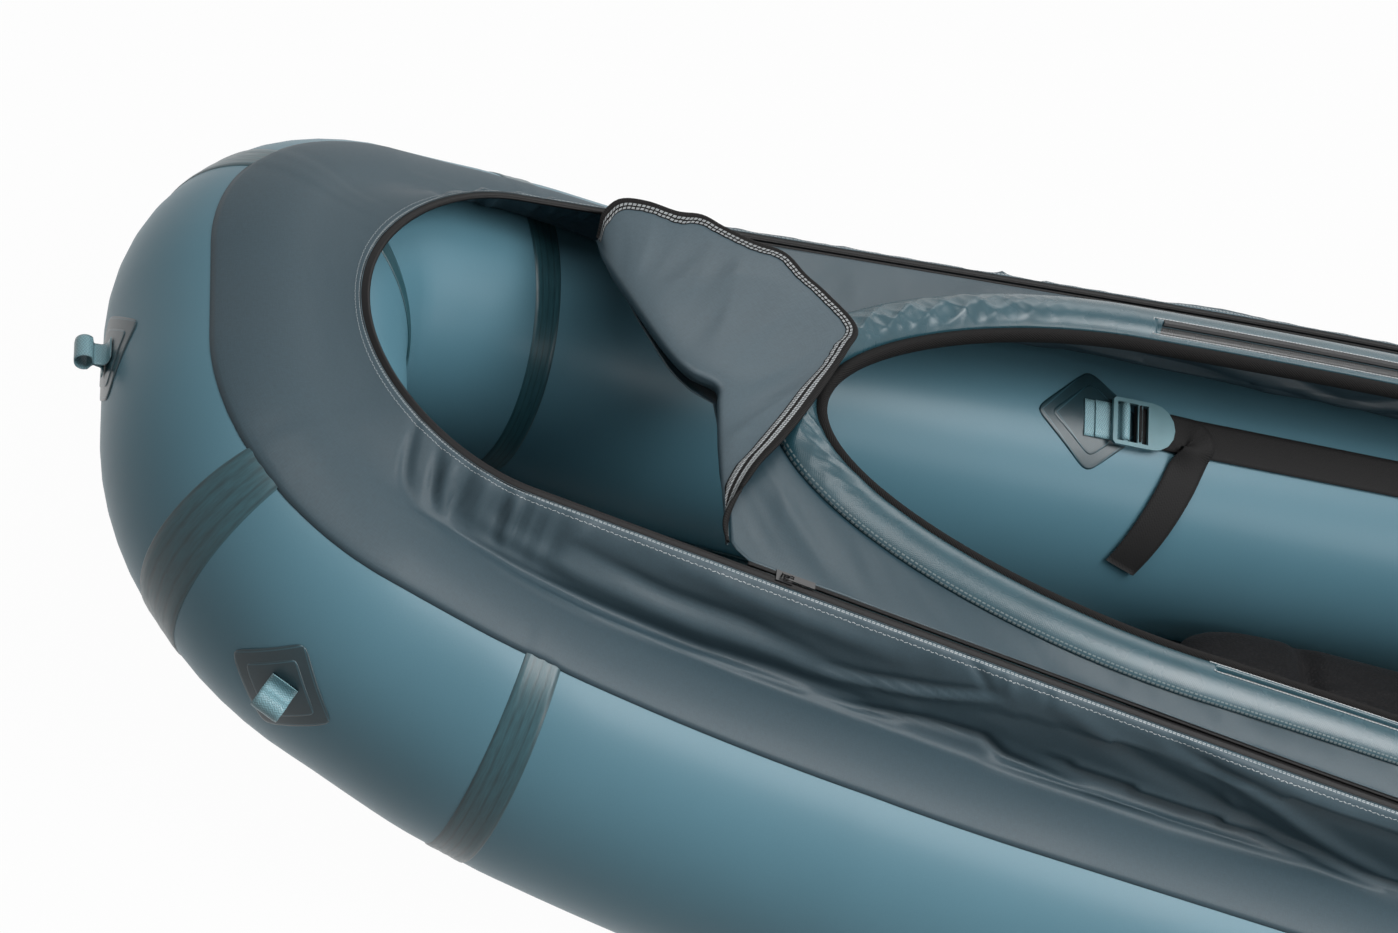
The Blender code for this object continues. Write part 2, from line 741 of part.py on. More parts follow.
def coaming():
    """Bound rim, padded sleeve with a slot on each side, and the rods that show in the slots."""
    high = RIM_HIGH / 2
    rim = [(0, -high), (RIM_WIDTH, -high), (RIM_WIDTH, high * 0.6), (RIM_WIDTH * 0.6, high), (0, high * 0.6)]
    sweep("cockpit_rim", RIM_FRAMES, rim, BLACK_CLOTH, closed=True)
    low = -SLEEVE_HIGH * 0.25
    section = [(SLEEVE_IN, low), (SLEEVE_OUT, low), (SLEEVE_OUT, 0)]
    for out_share, up_share in SLEEVE_CROWN_SHARES:
        section.append((SLEEVE_IN + SLEEVE_WIDTH * out_share, SLEEVE_HIGH * up_share))
    section.reverse()
    sleeve = sweep("coaming_sleeve", RIM_FRAMES, section, SLEEVE_LOOK, closed=True)
    for label, side in (("port", 1), ("starboard", -1)):
        path = rod_path(0, side)
        round_bar(f"coaming_rod_{label}", path, ROD_R, 8, BLACK_PLASTIC)
        groove = []
        for p in rod_path(SLOT_MARGIN, side):
            groove.append((p, Vector((0, side, 0)), Vector((0, 0, 1))))
        wide = ROD_R + GAP
        tall = SLEEVE_HIGH
        base = -ROD_R - GAP
        box = [(-wide * 1.3, base), (wide * 1.3, base), (wide * 1.6, tall), (-wide * 1.6, tall)]
        cut(sleeve, sweep("groove", groove, box, BLACK_CLOTH))
    finish(sleeve, SLEEVE_LOOK)


coaming()


def ray_hit(polygon, start, heading):
    """Where a level ray from a point first meets a closed polygon."""
    best = None
    n = len(polygon)
    for i in range(n):
        a, b = polygon[i], polygon[(i + 1) % n]
        edge = b - a
        cross = heading.x * edge.y - heading.y * edge.x
        if abs(cross) < 1e-12:
            continue
        gap = a - start
        t = (gap.x * edge.y - gap.y * edge.x) / cross
        u = (gap.x * heading.y - gap.y * heading.x) / cross
        if t > 0 and -1e-9 <= u <= 1 + 1e-9 and (best is None or t < best[0]):
            best = (t, a + edge * u)
    return best[1]


def deck_panel():
    """Centre deck between the zip and the coaming, ending at the fold."""
    border = behind_fold([p - o * CLOTH_EDGE for p, o in zip(ZIP_POINTS, ZIP_OUT)], FOLD_GAP)
    inner = [p + o * (SLEEVE_OUT + GAP + CLOTH / 2) for p, o in zip(RIM_POINTS, RIM_OUT)]
    outer = [ray_hit(border, p, o) for p, o in zip(inner, RIM_OUT)]
    for corner in (border[0], border[-1]):
        k = min(range(len(outer)), key=lambda i: (outer[i] - corner).length)
        outer[k] = corner.copy()
    rows = []
    for a, b in zip(inner, outer):
        top = a.copy()
        low = Vector((b.x, b.y, ZIP_Z))
        middle = top.lerp(low, 0.5)
        middle.z = (top.z + low.z) / 2 + CLOTH
        rows.append([top, middle, low])
    sheet("deck_panel", rows, CLOTH, DECK_LOOK, closed=True)


deck_panel()


# The front panel of the deck, turned back over the coaming

FLAP_REACH = 0.194
FLAP_RISE = 0.027
FLAP_RISE_RUN = 0.026
FLAP_COLUMNS = 18
FLAP_ROWS = 6
FLAP_BASE = 0.0006
FLAP_BASE_SHARE = 0.035
FLAP_SPAN_SHARE = 0.84
FLAP_EDGE_SHARES = [(0.035, 0.05), (0.045, 0.17), (0.065, 0.31), (0.09, 0.526), (0.125, 0.654), (0.155, 0.80),
                    (0.264, 0.923), (0.36, 1.0), (0.47, 0.80), (0.585, 0.608), (0.755, 0.232), (0.875, 0.06)]
FLAP_PLEAT = 0.006
FLAP_HINGE = (FOLD_ENDS[0] + FOLD_ENDS[1]) / 2


def curve_through(points, count):
    """Even points along a smooth curve through hand-chosen points."""
    fine = []
    last = len(points) - 1
    for i in range(last):
        p0, p1 = points[max(i - 1, 0)], points[i]
        p2, p3 = points[i + 1], points[min(i + 2, last)]
        for k in range(8):
            t = k / 8
            fine.append(0.5 * (2 * p1 + (p2 - p0) * t + (2 * p0 - 5 * p1 + 4 * p2 - p3) * t ** 2
                               + (3 * p1 - p0 - 3 * p2 + p3) * t ** 3))
    return even(fine + [points[-1]], count, closed=False)


def flap():
    """The turned-back panel rises from the fold, lies over the coaming and carries its zip half."""
    length = (FOLD_ENDS[1] - FOLD_ENDS[0]).length
    edge = curve_through([Vector((a * length, d * FLAP_REACH, 0)) for a, d in FLAP_EDGE_SHARES], FLAP_COLUMNS)
    rows = []
    for i, outer in enumerate(edge):
        base = Vector((length * (FLAP_BASE_SHARE + FLAP_SPAN_SHARE * i / (FLAP_COLUMNS - 1)), FLAP_BASE, 0))
        row = []
        for j in range(FLAP_ROWS):
            spot = base.lerp(outer, (j / (FLAP_ROWS - 1)) ** 1.4)
            rise = FLAP_RISE * (1 - exp(-spot.y / FLAP_RISE_RUN))
            rise += FLAP_PLEAT * sin(pi * j / (FLAP_ROWS - 1)) * sin(3 * pi * i / (FLAP_COLUMNS - 1)) ** 2
            row.append(FOLD_ENDS[0] + FOLD_ALONG * spot.x - FOLD_AHEAD * spot.y + Vector((0, 0, rise)))
        rows.append(row)
    sheet("deck_flap", rows, CLOTH, DECK_LOOK, origin=FLAP_HINGE)
    frames = []
    rim = [row[-1] for row in rows]
    for i, p in enumerate(rim):
        along = (rim[min(i + 1, len(rim) - 1)] - rim[max(i - 1, 0)]).normalized()
        inward = rows[i][-2] - p
        up = along.cross(inward).normalized()
        if up.z < 0:
            up = -up
        side = along.cross(up).normalized()
        if side.dot(inward) > 0:
            side = -side
        frames.append((p, side, up))
    high = ZIP_CHAIN_THICK / 2
    first = GAP * 2
    last = first + ZIP_CHAIN_WIDTH
    bead = first + ZIP_CHAIN_WIDTH * 0.66
    profile = [(first, -high / 2), (bead, -high), (last, -high)]
    profile += [(a, -b) for a, b in reversed(profile)]
    sweep("flap_zip_chain", frames, profile, BLACK_CLOTH, origin=FLAP_HINGE)


flap()


# Zip sliders and their pull tabs

SLIDER_LENGTH = 0.015
SLIDER_WIDTH = 0.0125
SLIDER_PLATE = 0.0012
SLIDER_NECK = 0.0016
SLIDER_BACK = 0.040
BRIDGE_SPAN = 0.0070
BRIDGE_BAR = 0.0012
BRIDGE_HIGH = 0.0042
BRIDGE_WIDE = 0.0020
PULL_THICK = 0.0011
PULL_LENGTH = 0.027
PULL_WIDTH = 0.0075
PULL_BAR = 0.0011
WINDOW_LONG = 0.0072
WINDOW_WIDE = 0.0040
PULL_LIFT = 0.0016


def slab(name, outline, low, high, frame, look, origin=None):
    """A flat plate of the given outline, in (along, across) pairs, between two heights of a frame."""
    place, along, across, up = frame
    points = [place + along * a + across * b + up * h for h in (low, high) for a, b in outline]
    n = len(outline)
    faces = [tuple(range(n)), tuple(n + i for i in reversed(range(n)))]
    faces += [(i, (i + 1) % n, n + (i + 1) % n, n + i) for i in range(n)]
    return make(name, points, faces, look, origin)


def box_outline(a0, a1, b0, b1):
    """Corners of a rectangle."""
    return [(a0, b0), (a1, b0), (a1, b1), (a0, b1)]


def rounded(a0, a1, b0, b1, radius, steps=3):
    """Corners of a rectangle with rounded corners."""
    out = []
    for cx, cy, start in ((a1 - radius, b0 + radius, -90), (a1 - radius, b1 - radius, 0),
                          (a0 + radius, b1 - radius, 90), (a0 + radius, b0 + radius, 180)):
        for k in range(steps + 1):
            turn = radians(start + 90 * k / steps)
            out.append((cx + radius * cos(turn), cy + radius * sin(turn)))
    return out


def slider_frame(side):
    """Middle of a slider on the zip's line, with the way aft, the way outboard and up."""
    end = FOLD_ENDS[1] if side > 0 else FOLD_ENDS[0]
    slope = ZIP_FLARE_SHARE
    aft = Vector((-1, side * slope, 0)).normalized()
    out = Vector((slope, side, 0)).normalized()
    return end + aft * SLIDER_BACK, aft, out, Vector((0, 0, 1))


def zip_sliders():
    """A slider at each end of the open zip, with a bridge that holds its pull tab."""
    for label, side in (("port", 1), ("starboard", -1)):
        frame = slider_frame(side)
        place, aft, out, up = frame
        half = SLIDER_LENGTH / 2
        wide = SLIDER_WIDTH / 2
        neck = SLIDER_NECK / 2
        low = ZIP_CHAIN_THICK / 2 + GAP
        high = low + SLIDER_PLATE
        section = [(-wide, -high), (wide, -high), (wide, -low), (neck, -low), (neck, low), (wide, low),
                   (wide, high), (-wide, high), (-wide, low), (-neck, low), (-neck, -low), (-wide, -low)]
        ends = [(place - aft * half, out, up), (place + aft * half, out, up)]
        slider = sweep(f"zip_slider_{label}", ends, section, BLACK_PLASTIC, origin=place)
        post = BRIDGE_SPAN / 2
        foot, roof, bay = high - GAP, high + BRIDGE_HIGH, post - BRIDGE_BAR
        arch = [(-post, foot), (-post, roof), (post, roof), (post, foot)]
        arch += [(bay, foot), (bay, roof - BRIDGE_BAR), (-bay, roof - BRIDGE_BAR), (-bay, foot)]
        sides = [(place - out * BRIDGE_WIDE / 2, aft, up), (place + out * BRIDGE_WIDE / 2, aft, up)]
        combine(slider, sweep("bridge", sides, arch, BLACK_PLASTIC), "UNION")
        finish(slider, BLACK_PLASTIC)
        pivot = place + up * (high + PULL_LIFT)
        start = -PULL_BAR / 2
        plate = rounded(start, PULL_LENGTH, -PULL_WIDTH / 2, PULL_WIDTH / 2, PULL_BAR / 2)
        at_pivot = (pivot, aft, out, up)
        low, high = -PULL_THICK / 2, PULL_THICK / 2
        tab = slab(f"zip_pull_{label}", plate, low, high, at_pivot, BLACK_PLASTIC, pivot)
        hole = box_outline(PULL_BAR / 2, PULL_BAR / 2 + WINDOW_LONG, -WINDOW_WIDE / 2, WINDOW_WIDE / 2)
        cut(tab, slab("window", hole, -PULL_THICK, PULL_THICK, at_pivot, BLACK_PLASTIC, pivot))
        finish(tab, BLACK_PLASTIC)


zip_sliders()


# Welded patches and grab loops

PATCH_THICK = 0.0010
GRAB_PATCH_HALF = 0.052
THIGH_PATCH_ALONG = 0.060
THIGH_PATCH_AROUND = 0.052
BLUNT = 0.012
WEB_THICK = 0.0013
GRAB_WEB_WIDTH = 0.026
GRAB_NECK = 0.012
GRAB_EYE_R = 0.0075
GRAB_BOW_X = 1.003
GRAB_FOOT = 0.011
GRAB_CORNER = 0.0045


def s_at_x(x):
    """Place on the port side of the centreline at a given x."""
    low, high = RUNS[1][0], RUNS[-1][0]
    for step in range(LOOP_POINTS):
        middle = (low + high) / 2
        if place_on_path(middle)[0].x < x:
            low = middle
        else:
            high = middle
    return (low + high) / 2


HULL_TRACK = sorted(s if s >= 0 else s + 2 * HALF_PATH for s in HULL_PLACES)


def bracket(s):
    """Hull places on either side of s, and how far s lies between them."""
    want = s % (2 * HALF_PATH)
    track = [HULL_TRACK[-1] - 2 * HALF_PATH] + HULL_TRACK + [HULL_TRACK[0] + 2 * HALF_PATH]
    for a, b in zip(track, track[1:]):
        if a <= want <= b:
            break
    return a, b, (want - a) / (b - a)


def on_track(s):
    """The same place with the starboard side as minus s."""
    s = s % (2 * HALF_PATH)
    return s - 2 * HALF_PATH if s > HALF_PATH else s


def hull_skin(s, angle, off):
    """Point on the panels as they are built, straight from one hull place to the next."""
    a, b, share = bracket(s)
    return skin(on_track(a), angle, off).lerp(skin(on_track(b), angle, off), share)


def hull_frame(s, angle, off=0):
    """Spot on the panels with the way to the bow, the way up round the tube and the way out."""
    a, b, share = bracket(s)
    first, last = skin(on_track(a), angle, off), skin(on_track(b), angle, off)
    fore = (last - first).normalized()
    outward = tube_centre(on_track(s))[1]
    out = outward * cos(angle) + Vector((0, 0, 1)) * sin(angle)
    out = (out - fore * out.dot(fore)).normalized()
    around = out.cross(fore)
    if around.dot(Vector((0, 0, 1)) * cos(angle) - outward * sin(angle)) < 0:
        around = -around
    return first.lerp(last, share), fore, around, out


def diamond(along, around):
    """Corners of a diamond with blunt points."""
    a, b, c = along, around, BLUNT
    return [(a, -c), (a, c), (c, b), (-c, b), (-a, c), (-a, -c), (-c, -b), (c, -b)]


def patch(name, s, angle, along, around):
    """A diamond of welded cloth that follows the panels."""
    place, fore, upward, out = hull_frame(s, angle)
    reach = along * 1.3
    inside = [t for t in HULL_TRACK if s % (2 * HALF_PATH) - reach < t < s % (2 * HALF_PATH) + reach]
    start = s % (2 * HALF_PATH)
    marks = [start - reach] + inside + [start + reach]
    radius = tube_centre(on_track(s))[2]
    facet = 2 * pi / FACETS
    first = ceil((angle - around * 1.3 / radius) / facet - 0.5) - 1
    last = ceil((angle + around * 1.3 / radius) / facet - 0.5)
    rows = []
    for t in marks:
        rows.append([hull_skin(t, facet_angle(k), GAP + PATCH_THICK / 2) for k in range(first, last + 1)])
    cloth = sheet(name, rows, PATCH_THICK, PATCH_LOOK)
    frame = (place, fore, upward, out)
    prism = slab("prism", diamond(along, around), -radius / 2, radius / 2, frame, PATCH_LOOK)
    combine(cloth, prism, "INTERSECT")
    finish(cloth, PATCH_LOOK)


def ribbon(name, centres, widths, sags, thick, look, origin=None):
    """A strip of webbing along a path, with its width and the way its edges droop at each point."""
    rows = [[c - w / 2 + sag, c, c + w / 2 + sag] for c, w, sag in zip(centres, widths, sags)]
    return sheet(name, rows, thick, look, origin=origin)


def grab_loop(name, s, angle):
    """Webbing that leaves its patch, runs out as a doubled neck and ends in an open eye."""
    foot, fore, around, out = hull_frame(s, angle, GAP + PATCH_THICK + GAP)
    rise = WEB_THICK / 2
    part = WEB_THICK / 2 + GAP
    path = [(rise, GRAB_FOOT), (rise, GRAB_CORNER), (GRAB_CORNER, part), (GRAB_NECK, part)]
    middle = GRAB_NECK + GRAB_EYE_R * 1.2
    for k in range(9):
        turn = radians(120 - 240 * k / 8)
        path.append((middle + GRAB_EYE_R * cos(turn), GRAB_EYE_R * sin(turn)))
    path += [(a, -b) for a, b in reversed(path[:4])]
    centres = [foot + out * a + around * b for a, b in path]
    rows = [[c - fore * GRAB_WEB_WIDTH / 2, c + fore * GRAB_WEB_WIDTH / 2] for c in centres]
    sheet(name, rows, WEB_THICK, WEB_LOOK)


GRAB_SPOTS = {
    "bow": HALF_PATH,
    "bow_port": s_at_x(GRAB_BOW_X),
    "bow_starboard": -s_at_x(GRAB_BOW_X),
    "stern": 0,
}


def grab_loops():
    """Loops at the bow, on both bow corners and at the stern."""
    for label, s in GRAB_SPOTS.items():
        patch(f"grab_patch_{label}", s, 0, GRAB_PATCH_HALF, GRAB_PATCH_HALF)
        grab_loop(f"grab_loop_{label}", s, 0)


grab_loops()


# Thigh straps

THIGH_ANGLE = radians(117.0)
THIGH_PATCH_X = 0.285
BUCKLE_FRONT_X = 0.268
BUCKLE_WIDTH = 0.046
BUCKLE_THICK = 0.0036
BUCKLE_RAIL = 0.0040
BUCKLE_BAR = 0.0045
LOOP_SLOT = 0.0065
MIDDLE_SLOT = 0.0105
STRAP_SLOT = 0.0065
BUCKLE_TAB = 0.024
BUCKLE_LIFT = 0.0072
STRAP_WIDTH = 0.036
STRAP_REAR_X = -0.24
STRAP_GAP = 0.0005
LOOP_LEAD = 0.026
TAIL_OUT = 0.012
TAIL_TURN_SHARES = [(1.0, 0.3, 0.35, 0.45), (1.3, 1.3, 0.5, 1.5)]
TAIL_TOP_X = 0.186
TAIL_END_X = 0.222
TAIL_TOP = radians(130.0)
TAIL_END = radians(171.0)
TAIL_CLEAR = 0.0045
TAIL_LEAN_SHARE = 0.15
TAIL_STEPS = 5


def wrap_bar(middle, lift, reach, start, end, steps=6):
    """Pairs on an arc round a buckle bar, angles in degrees from aft toward out."""
    out = []
    for k in range(steps + 1):
        turn = radians(start + (end - start) * k / steps)
        out.append((middle + reach * cos(turn), lift + reach * sin(turn)))
    return out


def thigh_straps():
    """Patch, webbing loop, ladder-lock buckle and strap on each inner wall of the cockpit."""
    droop = STRAP_WIDTH / 2 * tan(pi / FACETS)
    bar_a = BUCKLE_BAR + LOOP_SLOT
    bar_b = bar_a + BUCKLE_BAR + MIDDLE_SLOT
    tab = bar_b + BUCKLE_BAR + STRAP_SLOT
    end = tab + BUCKLE_BAR + BUCKLE_TAB
    half = BUCKLE_WIDTH / 2
    corner = BUCKLE_RAIL * 0.7
    outline = [(0, corner - half), (corner, -half), (tab + BUCKLE_BAR, -half)]
    for k in range(1, 8):
        turn = radians(-90 + 180 * k / 8)
        outline.append((tab + BUCKLE_BAR + BUCKLE_TAB * cos(turn), half * sin(turn)))
    outline += [(tab + BUCKLE_BAR, half), (corner, half), (0, half - corner)]
    low, high = BUCKLE_LIFT, BUCKLE_LIFT + BUCKLE_THICK
    middle = (low + high) / 2
    slot = half - BUCKLE_RAIL
    ride = GAP + PATCH_THICK + GAP + WEB_THICK / 2
    over = ride + WEB_THICK + STRAP_GAP
    bend = sqrt(BUCKLE_BAR ** 2 + BUCKLE_THICK ** 2) / 2 + STRAP_GAP + WEB_THICK / 2
    round_a = bar_a + BUCKLE_BAR / 2
    round_b = bar_b + BUCKLE_BAR / 2
    for label, side in (("port", 1), ("starboard", -1)):
        patch(f"thigh_patch_{label}", side * s_at_x(THIGH_PATCH_X), THIGH_ANGLE, THIGH_PATCH_ALONG,
              THIGH_PATCH_AROUND)
        place, fore, around, out = hull_frame(side * s_at_x(BUCKLE_FRONT_X), THIGH_ANGLE)
        aft = fore if fore.x < 0 else -fore
        frame = (place, aft, around, out)
        buckle = slab(f"ladder_lock_{label}", outline, low, high, frame, BUCKLE_LOOK)
        for a0, a1 in ((BUCKLE_BAR, bar_a), (bar_a + BUCKLE_BAR, bar_b), (bar_b + BUCKLE_BAR, tab)):
            hole = box_outline(a0, a1, -slot, slot)
            cut(buckle, slab("slot", hole, low - BUCKLE_THICK, high + BUCKLE_THICK, frame, BUCKLE_LOOK))
        finish(buckle, BUCKLE_LOOK)

        pairs = [(-LOOP_LEAD, ride, 1), (BUCKLE_BAR, ride, 1), (round_a - bend / 2, ride + WEB_THICK / 4, 0)]
        pairs += [(a, h, 0) for a, h in wrap_bar(round_a, middle, bend, -50, 190)]
        pairs += [(round_a - bend * 1.5, over + WEB_THICK / 2, 0)]
        pairs += [(BUCKLE_BAR, over, 1), (-LOOP_LEAD * 0.6, over, 1)]
        centres = [place + aft * a + out * h for a, h, sag in pairs]
        sags = [out * -droop * sag for a, h, sag in pairs]
        widths = [around * STRAP_WIDTH] * len(centres)
        ribbon(f"thigh_loop_{label}", centres, widths, sags, WEB_THICK, WEB_LOOK)

        rear = s_at_x(STRAP_REAR_X)
        front = s_at_x(BUCKLE_FRONT_X - end - TAIL_OUT)
        centres = []
        sags = []
        for k in range(5):
            spot, ahead, about, off = hull_frame(side * (rear + (front - rear) * k / 4), THIGH_ANGLE)
            centres.append(spot + off * ride)
            sags.append(off * -droop)
        pairs = [(end, ride, 1), (round_b + 2 * bend, ride, 1)]
        pairs += [(round_b, ride, 0), (round_b - bend * 0.9, ride + bend, 0)]
        pairs += [(a, h, 0) for a, h in wrap_bar(round_b, middle, bend, 180, 0)]
        pairs += [(round_b + 1.5 * bend, over + WEB_THICK, 0)]
        pairs += [(round_b + 3 * bend, over, 1), (end + TAIL_OUT, over, 1)]
        centres += [place + aft * a + out * h for a, h, sag in pairs]
        sags += [out * -droop * sag for a, h, sag in pairs]
        widths = [around * STRAP_WIDTH] * len(centres)
        last = centres[-1]
        forward = aft * -1
        for a, b, c, twist in TAIL_TURN_SHARES:
            centres.append(last + (aft * a + around * b + out * c) * TAIL_OUT)
            widths.append((around + forward * twist).normalized() * STRAP_WIDTH)
        for k in range(TAIL_STEPS):
            share = k / (TAIL_STEPS - 1)
            s = side * s_at_x(TAIL_TOP_X + (TAIL_END_X - TAIL_TOP_X) * share)
            angle = TAIL_TOP + (TAIL_END - TAIL_TOP) * share
            centres.append(hull_skin(s, angle, TAIL_CLEAR))
            widths.append((forward - around * TAIL_LEAN_SHARE * (1 - share)).normalized() * STRAP_WIDTH)
        sags += [Vector((0, 0, 0))] * (len(centres) - len(sags))
        ribbon(f"thigh_strap_{label}", centres, widths, sags, WEB_THICK, BLACK_CLOTH)


thigh_straps()


# Seat and backrest

FLOOR_TOP = skin(s_at_x(0), FLOOR_ANGLE, OVER_TAPE).z
SEAT_BACK_X = -0.285
SEAT_LENGTH = 0.43
SEAT_WIDTH = 0.32
SEAT_THICK = 0.110
SEAT_CHANNELS = 3
BACKREST_X = -0.345
BACKREST_HIGH = 0.27
BACKREST_WIDTH = 0.34
BACKREST_THICK = 0.060
BACKREST_CHANNELS = 4
BACKREST_FLAT_SHARE = 0.0
BACKREST_SEATING = 0.0004
SEAT_FLAT_SHARE = 0.6
BACKREST_LEAN = radians(10.0)
CHANNEL_DEPTH = 0.010
CUSHION_ROUND_SHARE = 0.32
CUSHION_RINGS = 13
CUSHION_POINTS = 28


def cushion(name, frame, length, width, thick, channels, flat_share, look, origin=None):
    """An inflated pad with rounded ends and lengthwise channels, its back side flatter than its face."""
    place, along, across, up = frame
    points = []
    for j in range(CUSHION_RINGS):
        t = -cos(pi * (j + 0.5) / CUSHION_RINGS)
        plump = max(1 - abs(t) ** 4, 0) ** 0.5
        half = width / 2 * (1 - CUSHION_ROUND_SHARE * abs(t) ** 6)
        for k in range(CUSHION_POINTS):
            turn = 2 * pi * k / CUSHION_POINTS
            c, d = cos(turn), sin(turn)
            y = half * (abs(c) ** 0.55) * (1 if c >= 0 else -1)
            z = abs(d) ** 0.7
            ridge = abs(sin(pi * channels * (y / half + 1) / 2)) * CHANNEL_DEPTH * plump
            crown = (thick - CHANNEL_DEPTH) * (0.5 + 0.5 * z * plump) + ridge * z
            if d < 0:
                crown = thick * 0.5 * (1 - z * (flat_share + (1 - flat_share) * plump))
            points.append(place + along * (length * (t + 1) / 2) + across * y + up * crown)
    n = CUSHION_POINTS
    faces = []
    for j in range(CUSHION_RINGS - 1):
        for k in range(n):
            m = (k + 1) % n
            faces.append((j * n + k, j * n + m, j * n + n + m, j * n + n + k))
    faces.append(tuple(range(n)))
    faces.append(tuple((CUSHION_RINGS - 1) * n + k for k in range(n)))
    return make(name, points, faces, look, origin, soft_edge=80.0)


def seating():
    """Inflated seat on the floor and a backrest that leans on its webbing."""
    up = Vector((0, 0, 1))
    seat = (Vector((SEAT_BACK_X, 0, FLOOR_TOP + GAP)), Vector((1, 0, 0)), Vector((0, 1, 0)), up)
    size = (SEAT_LENGTH, SEAT_WIDTH, SEAT_THICK)
    cushion("seat_cushion", seat, *size, SEAT_CHANNELS, SEAT_FLAT_SHARE, SEAT_LOOK)
    foot = Vector((BACKREST_X, 0, FLOOR_TOP + BACKREST_SEATING))
    rise = Vector((-sin(BACKREST_LEAN), 0, cos(BACKREST_LEAN)))
    face = Vector((cos(BACKREST_LEAN), 0, sin(BACKREST_LEAN)))
    cushion("backrest", (foot - face * BACKREST_THICK / 2, rise, Vector((0, 1, 0)), face), BACKREST_HIGH,
            BACKREST_WIDTH, BACKREST_THICK, BACKREST_CHANNELS, BACKREST_FLAT_SHARE, SEAT_LOOK, origin=foot)


seating()


# Valves on the port quarter

VALVE_X = -0.62
TOP_UP_X = -0.72
VALVE_ANGLE_FACETS = 2
BARREL_R = 0.0160
BORE_R = 0.0125
SEAT_R = 0.0105
FLANGE_R = 0.0205
FLANGE_THICK = 0.0018
BARREL_DEEP = 0.018
NECK_HIGH = 0.009
LIP = 0.0022
SPIDER_WIDE = 0.0050
SPIDER_THICK = 0.0022
STEM_R = 0.0020
DISC_R = 0.0118
DISC_THICK = 0.0018
BUTTON_R = 0.0050
CAP_R = 0.0185
CAP_WALL = 0.0015
TOP_UP_R = 0.0060
TOP_UP_BORE = 0.0035
TOP_UP_FLANGE = 0.0140
VALVE_SIDES = 24


def valves():
    """Main valve with a sprung plunger and a screw cap, and a small valve for topping up by mouth."""
    angle = VALVE_ANGLE_FACETS * 2 * pi / FACETS
    hull = bpy.data.objects["tube_aft_port"]
    place, fore, around, out = hull_frame(s_at_x(VALVE_X), angle)
    wide = BARREL_R + GAP
    drill = [(0, -BARREL_DEEP * 2), (wide, -BARREL_DEEP * 2), (wide, BARREL_DEEP), (0, BARREL_DEEP)]
    cut(hull, turned("drill", drill, place, out, VALVE_SIDES, TUBE_LOOK))
    shelf, flange_top = LIP - BARREL_DEEP, GAP + FLANGE_THICK
    ring = [(BORE_R, NECK_HIGH), (BORE_R, shelf), (SEAT_R, shelf), (SEAT_R, -BARREL_DEEP)]
    ring += [(BARREL_R, -BARREL_DEEP), (BARREL_R, GAP), (FLANGE_R, GAP)]
    ring += [(FLANGE_R - FLANGE_THICK / 2, flange_top), (BARREL_R, flange_top), (BARREL_R, NECK_HIGH)]
    body = turned("valve_body", ring, place, out, VALVE_SIDES, BLACK_PLASTIC)
    spider_low = -BARREL_DEEP / 2
    reach, wide = BORE_R + LIP / 2, SPIDER_WIDE / 2
    spider = slab("spider", box_outline(-reach, reach, -wide, wide), spider_low, spider_low + SPIDER_THICK,
                  (place, fore, around, out), BLACK_PLASTIC)
    combine(body, spider, "UNION")
    hole = [(0, -BARREL_DEEP), (STEM_R + GAP, -BARREL_DEEP), (STEM_R + GAP, 0), (0, 0)]
    cut(body, turned("hole", hole, place, out, VALVE_SIDES, BLACK_PLASTIC))
    finish(body, BLACK_PLASTIC)
    top = spider_low + SPIDER_THICK + LIP * 2
    under = -BARREL_DEEP - GAP
    plunger = [(0, under - DISC_THICK), (DISC_R, under - DISC_THICK), (DISC_R, under), (STEM_R, under)]
    plunger += [(STEM_R, top), (BUTTON_R, top), (BUTTON_R, top + DISC_THICK), (0, top + DISC_THICK)]
    turned("valve_plunger", plunger, place, out, VALVE_SIDES, BUCKLE_LOOK, origin=place)
    inner = BARREL_R + GAP
    roof = NECK_HIGH + GAP
    base = GAP + FLANGE_THICK + GAP
    cap = [(0, roof), (inner, roof), (inner, base), (CAP_R, base), (CAP_R, roof)]
    cap += [(CAP_R - CAP_WALL, roof + CAP_WALL), (0, roof + CAP_WALL)]
    lid = turned("valve_cap", cap, place, out, VALVE_SIDES, BLACK_PLASTIC, origin=place)
    wing = slab("wing", rounded(-CAP_R * 0.8, CAP_R * 0.8, -LIP, LIP, LIP * 0.9), roof + CAP_WALL / 2,
                roof + CAP_WALL + LIP * 2, (place, fore, around, out), BLACK_PLASTIC, origin=place)
    combine(lid, wing, "UNION")
    finish(lid, BLACK_PLASTIC)

    place, fore, around, out = hull_frame(s_at_x(TOP_UP_X), angle)
    wide = TOP_UP_R + GAP
    drill = [(0, -BARREL_DEEP), (wide, -BARREL_DEEP), (wide, BARREL_DEEP), (0, BARREL_DEEP)]
    cut(hull, turned("drill", drill, place, out, VALVE_SIDES, TUBE_LOOK))
    finish(hull, TUBE_LOOK)
    pipe = [(TOP_UP_BORE, -NECK_HIGH), (TOP_UP_R, -NECK_HIGH), (TOP_UP_R, GAP), (TOP_UP_FLANGE, GAP),
            (TOP_UP_FLANGE - FLANGE_THICK / 2, GAP + FLANGE_THICK), (TOP_UP_R, GAP + FLANGE_THICK),
            (TOP_UP_R, NECK_HIGH * 1.6), (TOP_UP_R + LIP / 2, NECK_HIGH * 1.8), (TOP_UP_R, NECK_HIGH * 2),
            (TOP_UP_BORE, NECK_HIGH * 2)]
    turned("top_up_valve", pipe, place, out, VALVE_SIDES, BLACK_PLASTIC)


valves()
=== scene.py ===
import math

import bpy
import numpy as np
from mathutils import Matrix, Vector


